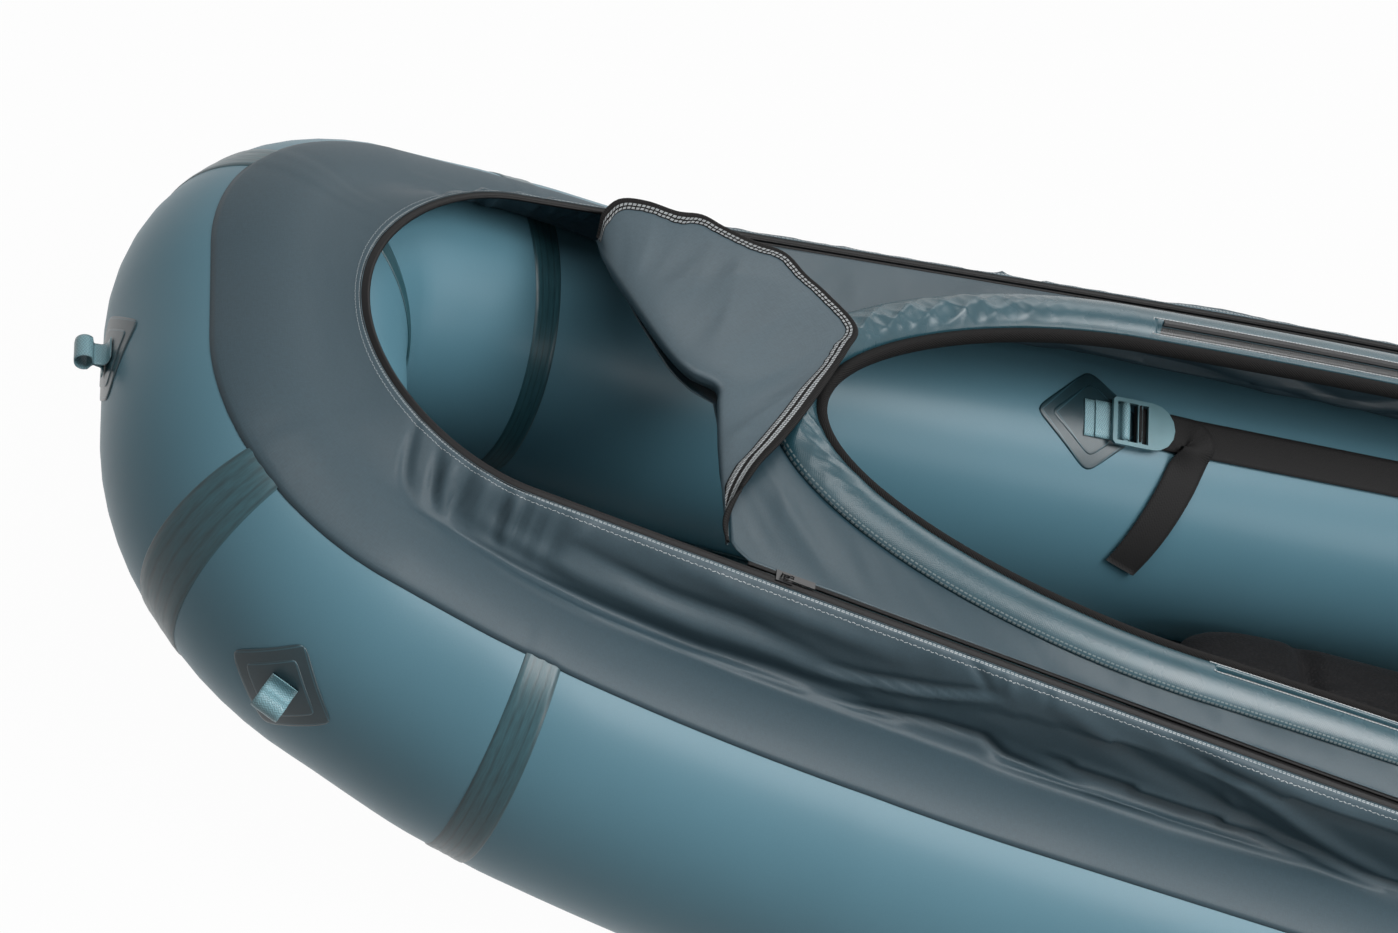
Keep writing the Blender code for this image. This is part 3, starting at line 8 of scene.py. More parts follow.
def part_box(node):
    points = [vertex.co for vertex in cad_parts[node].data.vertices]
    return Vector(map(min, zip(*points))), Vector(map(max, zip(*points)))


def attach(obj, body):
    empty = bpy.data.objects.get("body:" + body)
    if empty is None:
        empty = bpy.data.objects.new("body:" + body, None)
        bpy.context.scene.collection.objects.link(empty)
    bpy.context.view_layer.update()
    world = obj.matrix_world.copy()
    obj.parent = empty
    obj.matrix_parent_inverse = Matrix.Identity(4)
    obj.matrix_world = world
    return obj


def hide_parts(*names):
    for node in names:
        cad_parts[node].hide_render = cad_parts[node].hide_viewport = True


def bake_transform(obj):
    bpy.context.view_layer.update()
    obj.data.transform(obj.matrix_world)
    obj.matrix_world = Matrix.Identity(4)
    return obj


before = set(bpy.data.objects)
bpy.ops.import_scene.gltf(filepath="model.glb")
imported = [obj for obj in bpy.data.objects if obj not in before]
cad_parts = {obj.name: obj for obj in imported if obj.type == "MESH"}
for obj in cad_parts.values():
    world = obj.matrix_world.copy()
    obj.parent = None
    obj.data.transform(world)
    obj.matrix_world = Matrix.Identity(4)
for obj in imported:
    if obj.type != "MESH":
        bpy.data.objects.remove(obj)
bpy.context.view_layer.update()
scene = bpy.context.scene

# Camera: stands off the port bow, well above the deck and rolled, and looks down on the bow through a long lens.
# Its angles, distance and lens were fitted to the photo together with the hull.

FOCAL_PIXELS, FRAME_PIXELS = 5162.15, 1398
AIM, DISTANCE = Vector((0.655, -0.098, 0.2)), 4.639
azimuth, elevation, roll = math.radians(156.211), math.radians(39.374), math.radians(30.202)
back = Vector((math.sin(azimuth) * math.cos(elevation), -math.cos(azimuth) * math.cos(elevation),
               math.sin(elevation)))
right = (-back).cross(Vector((0, 0, 1))).normalized()
upward = right.cross(-back)
right, upward = (math.cos(roll) * right + math.sin(roll) * upward,
                 math.cos(roll) * upward - math.sin(roll) * right)
lens = bpy.data.cameras.new("camera")
lens.sensor_width = 36.0
lens.lens = FOCAL_PIXELS / FRAME_PIXELS * lens.sensor_width
lens.clip_end = 60
camera = bpy.data.objects.new("camera", lens)
turn = Matrix((right, upward, back)).transposed().to_4x4()
camera.matrix_world = Matrix.Translation(AIM + back * DISTANCE) @ turn
scene.collection.objects.link(camera)
scene.camera = camera

# Hull tube: airtight coated cloth in ten panels, cut so that the inflated tube bends at its seams and turns up at
# the bow and stern. Each panel is a run of one surface: a circle carried round the plan of the boat.

TUBE_BLUE = (0.078, 0.180, 0.230)
TUBE_RADIUS, BOW_TAPER, STERN_TAPER, BOW_RISE, STERN_RISE = .143, .013, .011, .11, .07


def unit(vectors):
    """The same directions with length 1."""
    return vectors / np.linalg.norm(vectors, axis=-1, keepdims=True)


def centreline():
    """Half of the tube's plan as a table: straight runs joined by arcs that touch both runs at each corner."""
    corners = np.array([(-1.088, 0), (-1.088, .17), (-.86, .29), (-.40, .352), (.85, .235), (1.09, .17),
                        (1.09, 0)])
    bends = (.152, .60, 1.50, .60, .15)
    x, y, a, s, seams = [corners[0, 0]], [0.0], [math.pi / 2], [0.0], []
    here = corners[0]
    for (before, corner, after), bend in zip(zip(corners, corners[1:], corners[2:]), bends):
        first, then = unit(corner - before), unit(after - corner)
        swing = math.acos(float(np.clip(first @ then, -1, 1)))
        start = corner - first * bend * math.tan(swing / 2)
        angle = math.atan2(first[1], first[0])
        middle = start + bend * np.array((first[1], -first[0]))
        t = angle - np.linspace(0, swing, 120)
        base = s[-1] + np.linalg.norm(start - here)
        x += list(middle[0] - bend * np.sin(t))
        y += list(middle[1] + bend * np.cos(t))
        a += list(t)
        s += list(base + (angle - t) * bend)
        seams.append(base + swing * bend / 2)
        here = np.array((x[-1], y[-1]))
    x.append(corners[-1, 0])
    y.append(0.0)
    a.append(-math.pi / 2)
    s.append(s[-1] + here[1])
    return [np.array(v) for v in (s, x, y, a)], seams


TRACK, SEAMS = centreline()
HALF = float(TRACK[0][-1])
UP = np.array((0.0, 0.0, 1.0))


def hull(u):
    """Centre, outward direction and radius u metres round from the middle of the stern, by port: the plan's table
    gives x, y and heading, the radius falls in straight lines to the ends, and z rises with the square of x."""
    u = np.mod(np.asarray(u, float), 2 * HALF)
    side = np.where(u <= HALF, 1.0, -1.0)
    s = np.where(u <= HALF, u, 2 * HALF - u)
    x, y, a = (np.interp(s, TRACK[0], TRACK[k]) for k in (1, 2, 3))
    bow, stern = np.clip((x - .55) / .54, 0, 1), np.clip((-.548 - x) / .54, 0, 1)
    radius = TUBE_RADIUS - BOW_TAPER * bow - STERN_TAPER * stern
    z = radius * math.cos(math.pi / 20) + BOW_RISE * np.clip((x - .39) / .70, 0, None) ** 2
    z += STERN_RISE * np.clip((-.508 - x) / .58, 0, None) ** 2
    return np.stack((x, y * side, z), -1), np.stack((-np.sin(a), np.cos(a) * side, 0 * a), -1), radius


def around(u, angle, lift=0.0):
    """Points on the tube at angle radians from straight out toward up, drawn in a little at each seam and pressed
    flat where they meet the ground."""
    u, angle, lift = np.broadcast_arrays(np.asarray(u, float), angle, lift)
    centre, out, radius = hull(u)
    for seam in SEAMS:
        near = np.minimum(abs(u - seam), abs(2 * HALF - u - seam))
        radius = radius - .0011 * np.exp(-(near / .017) ** 2)
    point = centre + (out * np.cos(angle)[..., None] + UP * np.sin(angle)[..., None]) * (radius + lift)[..., None]
    point[..., 2] = np.maximum(point[..., 2], .0002 + np.maximum(lift, 0))
    return point


def solid_of(name, points, faces):
    """A smooth mesh object in the scene from points and faces."""
    mesh = bpy.data.meshes.new(name)
    mesh.from_pydata(points.reshape(-1, 3).tolist(), [], faces)
    mesh.shade_smooth()
    piece = bpy.data.objects.new(name, mesh)
    scene.collection.objects.link(piece)
    return piece


def surface(name, grid, loop_u=False, loop_v=False, across=None, along=None, caps=False):
    """Mesh from a grid of points, rows along and columns across, with four-sided faces between neighbours. Its uv
    map is the mean running length along the rows and across the columns, in metres, or the values given."""
    grid = np.asarray(grid, float)
    nu, nv = grid.shape[:2]
    index = np.arange(nu * nv).reshape(nu, nv)
    i, j = np.arange(nu if loop_u else nu - 1), np.arange(nv if loop_v else nv - 1)
    a, b = index[i][:, j], index[i][:, (j + 1) % nv]
    c, d = index[(i + 1) % nu][:, (j + 1) % nv], index[(i + 1) % nu][:, j]
    faces = np.stack((a, b, c, d), -1).reshape(-1, 4)
    step = np.linalg.norm(np.diff(grid, axis=0), axis=-1).mean(1)
    u = np.concatenate(([0], np.cumsum(step))) if along is None else np.asarray(along, float)
    step = np.linalg.norm(np.diff(grid, axis=1), axis=-1).mean(0)
    v = np.concatenate(([0], np.cumsum(step))) if across is None else np.asarray(across, float)
    ue, ve = np.append(u, 2 * u[-1] - u[-2]), np.append(v, 2 * v[-1] - v[-2])
    ii, jj = np.meshgrid(i, j, indexing="ij")
    uv = np.stack((np.stack((ue[ii], ue[ii], ue[ii + 1], ue[ii + 1]), -1),
                   np.stack((ve[jj], ve[jj + 1], ve[jj + 1], ve[jj]), -1)), -1).reshape(-1, 2)
    polygons = faces.tolist()
    if caps:
        polygons += [index[0].tolist(), index[-1][::-1].tolist()]
        uv = np.concatenate((uv, np.zeros((2 * nv, 2))))
    piece = solid_of(name, grid, polygons)
    piece.data.uv_layers.new(name="cloth").data.foreach_set("uv", uv.ravel())
    return piece


def walled(piece, thickness, offset=-1):
    """Gives a sheet its thickness: below its points, or half to each side at offset 0."""
    wall = piece.modifiers.new("wall", "SOLIDIFY")
    wall.thickness, wall.offset = thickness, offset


def dress(piece, material, *labels, body="hull"):
    """Gives a piece its material, the body that it rides on and the nodes that it stands in for."""
    piece.data.materials.append(material)
    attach(piece, body)
    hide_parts(*labels)


def node(tree, kind, **values):
    """One shader node: a name that is one of its settings is set, and any other name is a socket's."""
    made = tree.nodes.new(kind)
    for key, value in values.items():
        if hasattr(made, key):
            setattr(made, key, value)
        else:
            made.inputs[key.replace("_", " ")].default_value = value
    return made


def calc(tree, operation, a, b=None, c=None):
    """One operation on shader values: each input is a number or another node's output."""
    made = tree.nodes.new("ShaderNodeMath")
    made.operation = operation
    for socket, value in zip(made.inputs, (a, b, c)):
        if isinstance(value, (int, float)):
            socket.default_value = value
        elif value is not None:
            tree.links.new(value, socket)
    return made.outputs[0]


def cloth_uv(tree):
    """The two uv values in metres, and both as one vector."""
    where = node(tree, "ShaderNodeUVMap", uv_map="cloth")
    split = tree.nodes.new("ShaderNodeSeparateXYZ")
    tree.links.new(where.outputs[0], split.inputs[0])
    return split.outputs[0], split.outputs[1], where.outputs[0]


def on_object(tree):
    """The place in the object's own coordinates."""
    return node(tree, "ShaderNodeTexCoord").outputs["Object"]


def blotches(tree, where, scale, detail=3.0, stretch=(1, 1, 1)):
    """Soft noise from 0 to 1, stretched along chosen directions."""
    place = node(tree, "ShaderNodeMapping")
    place.inputs["Scale"].default_value = stretch
    tree.links.new(where, place.inputs[0])
    made = node(tree, "ShaderNodeTexNoise", Scale=scale, Detail=detail)
    tree.links.new(place.outputs[0], made.inputs["Vector"])
    return made.outputs["Fac"]


def tinted(tree, colour, factor, low, high):
    """The colour times a value that runs from low to high with the factor."""
    spread = calc(tree, "MULTIPLY_ADD", factor, high - low, low)
    made = node(tree, "ShaderNodeMix", data_type="RGBA", blend_type="MULTIPLY")
    made.inputs["Factor"].default_value = 1.0
    made.inputs[6].default_value = (*colour, 1)
    tree.links.new(spread, made.inputs[7])
    return made.outputs[2]


def over(tree, under, colour, mask):
    """One colour, fixed or another node's output, laid over the one under it where the mask is 1."""
    made = node(tree, "ShaderNodeMix", data_type="RGBA")
    tree.links.new(mask, made.inputs["Factor"])
    tree.links.new(under, made.inputs[6])
    if isinstance(colour, tuple):
        made.inputs[7].default_value = (*colour, 1)
    else:
        tree.links.new(colour, made.inputs[7])
    return made.outputs[2]


def ripples(tree, value, rate):
    """A sine of the value times a rate."""
    return calc(tree, "SINE", calc(tree, "MULTIPLY", value, rate))


def weave(tree, u, v, rate):
    """The threads of a plain weave, from -1 to 1: a sine along u times a sine along v."""
    return calc(tree, "MULTIPLY", ripples(tree, u, rate), ripples(tree, v, rate))


def start(name, rough, sheen=0.0, coat=0.0, specular=0.5):
    """A new material, its finish set, and its node tree."""
    made = bpy.data.materials.new(name)
    made.use_nodes = True
    tree = made.node_tree
    shader = tree.nodes["Principled BSDF"]
    shader.inputs["Roughness"].default_value = rough
    shader.inputs["Sheen Weight"].default_value = sheen
    shader.inputs["Coat Weight"].default_value = coat
    shader.inputs["Coat Roughness"].default_value = 0.25
    shader.inputs["Specular IOR Level"].default_value = specular
    return made, tree


def finished(material, colour, height, distance, strength, rough=None):
    """The material with its colour, its bump, which is distance metres high where the height is 1, and a varying
    roughness if one is given."""
    tree = material.node_tree
    shader = tree.nodes["Principled BSDF"]
    bump = node(tree, "ShaderNodeBump", Strength=strength, Distance=distance)
    tree.links.new(height, bump.inputs["Height"])
    tree.links.new(bump.outputs[0], shader.inputs["Normal"])
    tree.links.new(colour, shader.inputs["Base Color"])
    if rough:
        tree.links.new(rough, shader.inputs["Roughness"])
    return material


def coated_cloth(name, colour, rough=0.44, coat=0.12):
    """Smooth coating over a fine weave: faint threads, slow clouds of shade, and a satin gloss that varies."""
    made, tree = start(name, rough, coat=coat, specular=.30)
    u, v, _ = cloth_uv(tree)
    spot = on_object(tree)
    clouds = blotches(tree, spot, 5.0)
    grain = blotches(tree, spot, 900.0, 2.0)
    tone = calc(tree, "MULTIPLY_ADD", grain, .35, calc(tree, "MULTIPLY", clouds, .65))
    height = calc(tree, "MULTIPLY_ADD", weave(tree, u, v, 7000.0), .3, grain)
    gloss = calc(tree, "MULTIPLY_ADD", clouds, .12, rough - .06)
    return finished(made, tinted(tree, colour, tone, .88, 1.12), height, .00006, .5, gloss)


TUBE_CLOTH = coated_cloth("tube_cloth", TUBE_BLUE)
BOUNDS = [-SEAMS[0], *SEAMS] + [2 * HALF - seam for seam in SEAMS[::-1]]
PANELS = ("tube_stern", "tube_stern_port", "tube_aft_port", "tube_fore_port", "tube_bow_port", "tube_bow",
          "tube_bow_starboard", "tube_fore_starboard", "tube_aft_starboard", "tube_stern_starboard")
for label, first, last in zip(PANELS, BOUNDS, BOUNDS[1:]):
    u = np.linspace(first + .0003, last - .0003, max(int((last - first) / .014), 8))[:, None]
    turn = np.linspace(0, 2 * math.pi, 112, endpoint=False)[None, :]
    panel = surface(label + "_cloth", around(u, turn), loop_v=True)
    walled(panel, .0009)
    dress(panel, TUBE_CLOTH, label)

# Seam tapes: glossy strips of the same coating, welded round the tube over each seam, darker than the panels and
# crossed by the streaks that the welding roller leaves.

TAPE_TEAL = (0.021, 0.068, 0.084)


def welded_tape(name, colour):
    """Strip with darker lines along it, fine streaks beside them and a wet gloss."""
    made, tree = start(name, .36, coat=.06, specular=.40)
    u, _, where = cloth_uv(tree)
    streaks = blotches(tree, where, 60.0, 3.0, (12.0, 1.0, 1.0))
    lines = calc(tree, "POWER", calc(tree, "MULTIPLY_ADD", ripples(tree, u, 900.0), .5, .5), 6.0)
    tone = calc(tree, "MULTIPLY_ADD", lines, -.35, streaks)
    gloss = calc(tree, "MULTIPLY_ADD", streaks, .30, .20)
    return finished(made, tinted(tree, colour, tone, .55, 1.5), tone, .00025, .4, gloss)


TAPE = welded_tape("welded_tape", TAPE_TEAL)
TAPE_PROFILE = np.array(((-.0148, .0001), (-.0140, .0009), (-.0100, .0012), (-.0035, .0010), (0, .0013),
                         (.0035, .0010), (.0100, .0012), (.0140, .0009), (.0148, .0001)))
TAPED = {"stern": SEAMS[0], "aft": SEAMS[1], "fore": SEAMS[3], "bow": SEAMS[4]}
for label, seam in TAPED.items():
    for side in ("port", "starboard"):
        middle = seam if side == "port" else 2 * HALF - seam
        turn = np.linspace(0, 2 * math.pi, 160, endpoint=False)[None, :]
        band = around(middle + TAPE_PROFILE[:, :1], turn, TAPE_PROFILE[:, 1:])
        tape = surface(f"tape_{label}_{side}", band, loop_v=True)
        dress(tape, TAPE, f"seam_tape_{label}_{side}")

# Floor: one heavy coated sheet stretched between the side tubes. A welded tape with one leg on the sheet and one
# on the tube joins them all round.

FLOOR_TEAL = (0.032, 0.086, 0.100)
FLOOR_ANGLE = math.radians(230)
floor_u = np.linspace(.10, HALF - .10, 220)
edge = around(floor_u, FLOOR_ANGLE, .0012)
edge[:, 2] -= .0006
share = np.linspace(-1, 1, 41)
grid = np.stack([np.stack((edge[:, 0], edge[:, 1] * k, edge[:, 2] - .004 * (1 - k * k)), -1) for k in share], 1)
grid[..., 2] = np.maximum(grid[..., 2], .004)
ground = surface("floor_cloth", grid)
walled(ground, .0010)
dress(ground, coated_cloth("floor_coating", FLOOR_TEAL, .34, .3), "floor_sheet")

loop_u = np.linspace(0, 2 * HALF, 700, endpoint=False)
corner, out = around(loop_u, FLOOR_ANGLE, .0013), hull(loop_u)[1]
climb = around(loop_u, math.radians(223.5), .0015)
foot = around(loop_u, math.radians(222.5), -.0004)
legs = np.stack([corner - out * .019 - UP * .0006, corner - out * .018 + UP * .0008,
                 corner - out * .004 + UP * .0010, .5 * (corner + climb) - out * .0016,
                 climb - out * .0004, climb, foot], 1)
strip = surface("floor_joint", legs, loop_u=True)
dress(strip, TAPE, "floor_tape")

# Deck skirt: one sheet of thin woven cloth round the boat, welded to the tube along its outer edge, drawn over the
# crown and up to the zip, with the seam tapes showing through it and slack folds under the zip.

# The free part's colour is the slate lightened by half as a painted sheen; the bonded band keeps the cloth's
# duller slate.
DECK_SLATE_AND_PAINTED_SHEEN = (0.030, 0.067, 0.087)
BONDED_SLATE = (0.021, 0.044, 0.058)
ZIP_PLAN, ZIP_HEIGHT = (1.036, .14, -.90, .52, .183, .85, .15), .378
WELD_ANGLE, WELD_DROP, CREST_ANGLE, HEM = 62, 8, 88, .0092
REACH, FOLD_DEPTH, CREASE_DEPTH = .23, 1.8, 1.7
FOLDS = (
    (1.4, 5, ((.20, .36), (.29, .45), (.40, .46), (.53, .51), (.62, .53), (.70, .51))),
    (-3.2, 9, ((.26, .46), (.40, .53), (.50, .54), (.59, .58), (.66, .60))),
    (3.0, 13, ((.31, .68), (.39, .66), (.49, .65), (.58, .68), (.70, .65))),
    (-2.6, 9, ((.38, .79), (.47, .74), (.54, .75), (.62, .70), (.67, .69))),
    (2.2, 11, ((.47, .89), (.56, .87), (.68, .85))),
    (2.6, 4, ((.62, .66), (.65, .68), (.71, .73), (.77, .82))),
    (-2.4, 4, ((.62, .70), (.65, .71), (.71, .77), (.76, .85))),
    (-3.8, 5, ((.62, .53), (.66, .54), (.72, .60), (.775, .62), (.80, .56), (.87, .53))),
    (3.6, 9, ((.79, .50), (.89, .51), (.96, .49), (1.08, .51))),
    (-2.6, 8, ((.84, .64), (.94, .61), (1.02, .60), (1.10, .58))),
    (3.2, 10, ((.81, .91), (.92, .76), (1.01, .68), (1.09, .58), (1.18, .46))),
    (-3.8, 8, ((.93, .91), (1.03, .79), (1.12, .65), (1.18, .58))),
    (2.4, 12, ((.96, .96), (1.06, .88), (1.16, .85))),
    (-2.2, 4, ((.990, .74), (1.012, .69))),
    (-2.6, 6, ((.185, .95), (.234, .50))), (-2.8, 5, ((.223, .94), (.257, .56))),
    (2.4, 5, ((.243, .94), (.262, .56))), (-2.8, 5, ((.265, .95), (.273, .54))),
    (2.2, 6, ((.285, .95), (.290, .60))), (-2.8, 5, ((.307, .95), (.312, .60))),
    (2.6, 4, ((.318, .94), (.320, .62))), (-2.6, 4, ((.329, .94), (.329, .60))),
    (-2.4, 4, ((.345, .94), (.340, .60))), (-2.2, 5, ((.363, .95), (.357, .60))),
    (2.0, 5, ((.385, .96), (.370, .72))), (-2.0, 4, ((.730, .98), (.759, .84))),
    (1.8, 4, ((.765, .98), (.775, .86))), (-1.8, 4, ((.803, .98), (.809, .87))))


def oval(front, nose, back_end, tail, half, gauge, flare, count):
    """Port half of a line on the deck, in plan from its nose: half wide at x = gauge, flaring straight aft and
    levelling off, between elliptical ends of lengths nose and tail."""
    x = (front + back_end) / 2 + (front - back_end) / 2 * np.cos(np.linspace(0, math.pi, count))
    run = np.clip(gauge - x, 0, None)
    run = run / (1 + (run / 1.05) ** 6) ** (1 / 6)
    y = half + flare * np.where(x < gauge, run, gauge - x)
    y = y * np.sqrt(1 - np.clip(1 - (front - x) / nose, 0, 1) ** 2)
    y = y * np.sqrt(1 - np.clip(1 - (x - back_end) / tail, 0, 1) ** 2)
    return np.column_stack((x, y))


def level(points, z):
    """Plan points set at one height or at their own heights."""
    return np.column_stack((points, np.broadcast_to(z, len(points))))


def zip_spot(u):
    """Point of the zip nearest to the tube's centre at u, and the way out from it."""
    port = oval(*ZIP_PLAN, 6000)
    loop = np.concatenate((port, port[-2:0:-1] * (1, -1)))
    normal = unit((np.roll(loop, -1, 0) - np.roll(loop, 1, 0))[:, ::-1] * (1, -1))
    centre = hull(u)[0][:, :2]
    nearest = np.argmin(((centre[:, None] - loop[None]) ** 2).sum(-1), axis=1)
    return level(loop[nearest], ZIP_HEIGHT), level(normal[nearest], 0)


def eased(values, width):
    """Running mean round a closed loop, weighted by a raised cosine."""
    n = len(values)
    kernel = np.hanning(2 * width + 3)[1:-1]
    kernel = kernel / kernel.sum()
    padded = np.concatenate((values[-width:], values, values[:width]))
    return np.stack([np.convolve(padded[:, k], kernel, "valid") for k in range(values.shape[1])], 1)[:n]


def creases(a, b, seed, waves=16, low=8.0, high=60.0, lean=0.25):
    """Cloth folds from 0 to 1 on coordinates a and b: crests of many sine waves that run mostly along a."""
    rng = np.random.default_rng(seed)
    total = 0
    for k in range(waves):
        size = low * (high / low) ** rng.random()
        slope = rng.normal(0, lean)
        bend = .6 * np.sin(a * rng.uniform(2, 9) + rng.uniform(0, 6.3))
        total = total + (1 - abs(np.sin(size * (b + slope * a) + bend + rng.uniform(0, 6.3)))) ** 2 / size ** .7
    return total / (waves * low ** -.7) * 3


def folded(along, across):
    """Height of the listed folds, each given as height and half width in millimetres and points (metres round
    from the bow, share of the way from the weld to the zip): a bell across the line through its points, low at its
    ends."""
    total = 0 * (along + across)
    for height, width, points in FOLDS:
        points = np.array(points) * (1, REACH)
        steps = np.linalg.norm(np.diff(points, axis=0), axis=1)
        nearest, place, done = 9 + total * 0, total * 0, 0.0
        for a, b, step in zip(points, points[1:], steps):
            share = np.clip(((along - a[0]) * (b[0] - a[0]) + (across - a[1]) * (b[1] - a[1])) / step ** 2, 0, 1)
            off = np.hypot(along - a[0] - share * (b[0] - a[0]), across - a[1] - share * (b[1] - a[1]))
            place = np.where(off < nearest, (done + share * step) / steps.sum(), place)
            nearest = np.minimum(off, nearest)
            done += step
        bell = np.exp(-(nearest * 1000 / width) ** 2)
        total = total + height / 1000 * bell * (.3 + .7 * np.sin(math.pi * place))
    return total


deck_u = np.linspace(0, 2 * HALF, 1080, endpoint=False)
zip_at, zip_out = zip_spot(deck_u)
zip_at, zip_out = eased(zip_at, 7), unit(eased(zip_out, 7))
x = hull(deck_u)[0][:, 0]
weld = np.radians(WELD_ANGLE - WELD_DROP * np.clip((x - .85) / .24, 0, 1))
crest = np.radians(CREST_ANGLE)
bonded = np.linspace(0, 1, 14)
angle = weld[:, None] + (crest - weld)[:, None] * bonded[None, :]
lift = np.where(bonded[None, :] == 0, .0004, .0016) + 0 * angle
for seam in TAPED.values():
    near = np.minimum(abs(deck_u - seam), abs(2 * HALF - deck_u - seam))
    lift = lift + (.0012 * np.exp(-(near / .014) ** 6))[:, None] * (bonded[None, :] > 0)
low_part = around(deck_u[:, None], angle, lift)
start_at = low_part[:, -1]
heading = unit(start_at - low_part[:, -2])
end_at = zip_at + zip_out * HEM
span = np.linalg.norm(end_at - start_at, axis=1)[:, None]
t = np.linspace(0, 1, 32)[1:]
knot = start_at + heading * span * .30
far_knot = end_at + (zip_out * .9 - UP * .35) * span * .30
k = t[None, :, None]
free = (start_at[:, None] * (1 - k) ** 3 + 3 * knot[:, None] * k * (1 - k) ** 2
        + 3 * far_knot[:, None] * k ** 2 * (1 - k) + end_at[:, None] * k ** 3)
deck_grid = np.concatenate((low_part, free), 1)
across = np.concatenate((bonded * .45, .45 + .55 * t))
from_bow = abs(deck_u - HALF)[:, None]
slack = np.clip((across - .40) / .15, 0, 1) * np.clip((1.0 - across) / .06, 0, 1)
slack = slack[None, :] * (.35 + .65 * np.clip((from_bow - .25) / .3, 0, 1))
gather = creases(deck_u[:, None], across[None, :] * .10, 5, 14, 30, 160, .22)
ripple = creases(across[None, :] * .2, deck_u[:, None], 9, 10, 40, 120, .5)
normal = unit(np.cross(np.gradient(deck_grid, axis=0), np.gradient(deck_grid, axis=1)))
normal = normal * np.sign(normal[..., 2:3] + 1e-9)
edge_pull = np.exp(-((1 - across) / .16) ** 2)[None, :]
round_from_bow = 1.175 - abs(from_bow - 1.175 - .05 * (deck_u[:, None] > HALF))
laid = folded(round_from_bow, across[None, :] * REACH)
laid = laid * np.clip((1.0 - across) / .03, 0, 1) * np.clip((across - .30) / .12, 0, 1)
small = slack * (.0011 * gather - .0004) + .0010 * ripple * edge_pull * slack
tube_centre, _, tube_radius = hull(deck_u)
clear = np.linalg.norm(deck_grid - tube_centre[:, None], axis=-1) - tube_radius[:, None]
shift = np.maximum(FOLD_DEPTH * laid + CREASE_DEPTH * small, np.minimum(.0016 - clear, 0))
deck_grid = deck_grid + normal * shift[..., None]
steps = np.linalg.norm(np.diff(deck_grid, axis=1), axis=-1).mean(0)
depth = np.concatenate((np.cumsum(steps[::-1])[::-1], [0]))


def stitches(tree, off, along, half, pitch, share):
    """1 on the dashes of a row of thread: half wide either side of off = 0, there for a share of each pitch."""
    line = calc(tree, "LESS_THAN", calc(tree, "ABSOLUTE", off), half)
    dash = calc(tree, "LESS_THAN", calc(tree, "FRACT", calc(tree, "MULTIPLY", along, 1 / pitch)), share)
    return calc(tree, "MULTIPLY", line, dash)


def woven(name, colour, rough=.44, rows=(), bonded=None):
    """Fine plain weave whose threads differ a little in shade, satin where it hangs free and duller where it is
    bonded, with rows of pale stitches, each at a v in metres with a swing from side to side."""
    wear = (.48, 1.55)
    made, tree = start(name, rough, coat=.10, specular=.40)
    u, v, where = cloth_uv(tree)
    spot = on_object(tree)
    clouds = blotches(tree, spot, 7.0, 4.0)
    warp = blotches(tree, where, 160.0, 3.0, (1.0, 7.0, 1.0))
    weft = blotches(tree, where, 160.0, 3.0, (7.0, 1.0, 1.0))
    mixed = calc(tree, "MULTIPLY", calc(tree, "ADD", warp, weft), .5)
    tone = calc(tree, "MULTIPLY_ADD", mixed, .8, calc(tree, "MULTIPLY", clouds, .2))
    colour_out = tinted(tree, colour, tone, *wear)
    gloss = calc(tree, "MULTIPLY_ADD", clouds, .14, rough - .07)
    if bonded:
        flat = calc(tree, "MULTIPLY_ADD", v, 1 / .006, -bonded[0] / .006)
        flat = calc(tree, "MINIMUM", calc(tree, "MAXIMUM", flat, 0.0), 1.0)
        dull = tinted(tree, bonded[1], tone, *wear)
        colour_out = over(tree, colour_out, dull, flat)
        gloss = calc(tree, "MULTIPLY_ADD", flat, .16, gloss)
    height = calc(tree, "MULTIPLY_ADD", weave(tree, u, v, 5200.0), .25, mixed)
    for at, swing in rows:
        side = calc(tree, "PINGPONG", calc(tree, "MULTIPLY", u, .7), .0022)
        off = calc(tree, "SUBTRACT", calc(tree, "MULTIPLY_ADD", side, swing / .0022, at), v)
        mask = stitches(tree, off, u, .00036, .0040, .74)
        colour_out = over(tree, colour_out, (.36, .39, .40), mask)
        height = calc(tree, "MULTIPLY_ADD", mask, 1.5, height)
    return finished(made, colour_out, height, .00022, .55, gloss)


skirt = surface("deck_skirt", deck_grid, loop_u=True, across=depth, along=deck_u)
walled(skirt, .0007)
HEM_ROWS = ((.0020, 0), (.0034, 0), (.0094, .0012))
weld_at = float(np.interp(-.47, -across, depth))
dress(skirt, woven("deck_weave_and_painted_sheen", DECK_SLATE_AND_PAINTED_SHEEN, rows=HEM_ROWS, bonded=(weld_at, BONDED_SLATE)),
      "deck_skirt_port", "deck_skirt_bow", "deck_skirt_starboard", "deck_skirt_stern")

# Zip: a black tape sewn under the edge of the skirt all round, and its other half on the centre deck. Moulded
# teeth stand in a rib beside the gap.

ZIP_BLACK = (0.0050, 0.0047, 0.0050)


def lengths(points):
    """How far along its line each point lies: the running sum of the steps."""
    return np.concatenate(([0], np.cumsum(np.linalg.norm(np.diff(points, axis=0), axis=1))))


def respaced(points, count, endpoint=True):
    """Even points along a line of points, read off between its own."""
    along = lengths(points)
    at = np.linspace(0, along[-1], count, endpoint=endpoint)
    return np.column_stack([np.interp(at, along, points[:, k]) for k in range(points.shape[1])])


def deck_loop(plan, count):
    """A whole oval in even steps from its nose by port, with the ways out from it."""
    port = oval(*plan, 5000)
    loop = respaced(np.concatenate((port, (port * (1, -1))[-2::-1])), count, endpoint=False)
    ahead = np.roll(loop, -1, 0) - np.roll(loop, 1, 0)
    out = np.column_stack((ahead[:, 1], -ahead[:, 0]))
    return loop, unit(out)


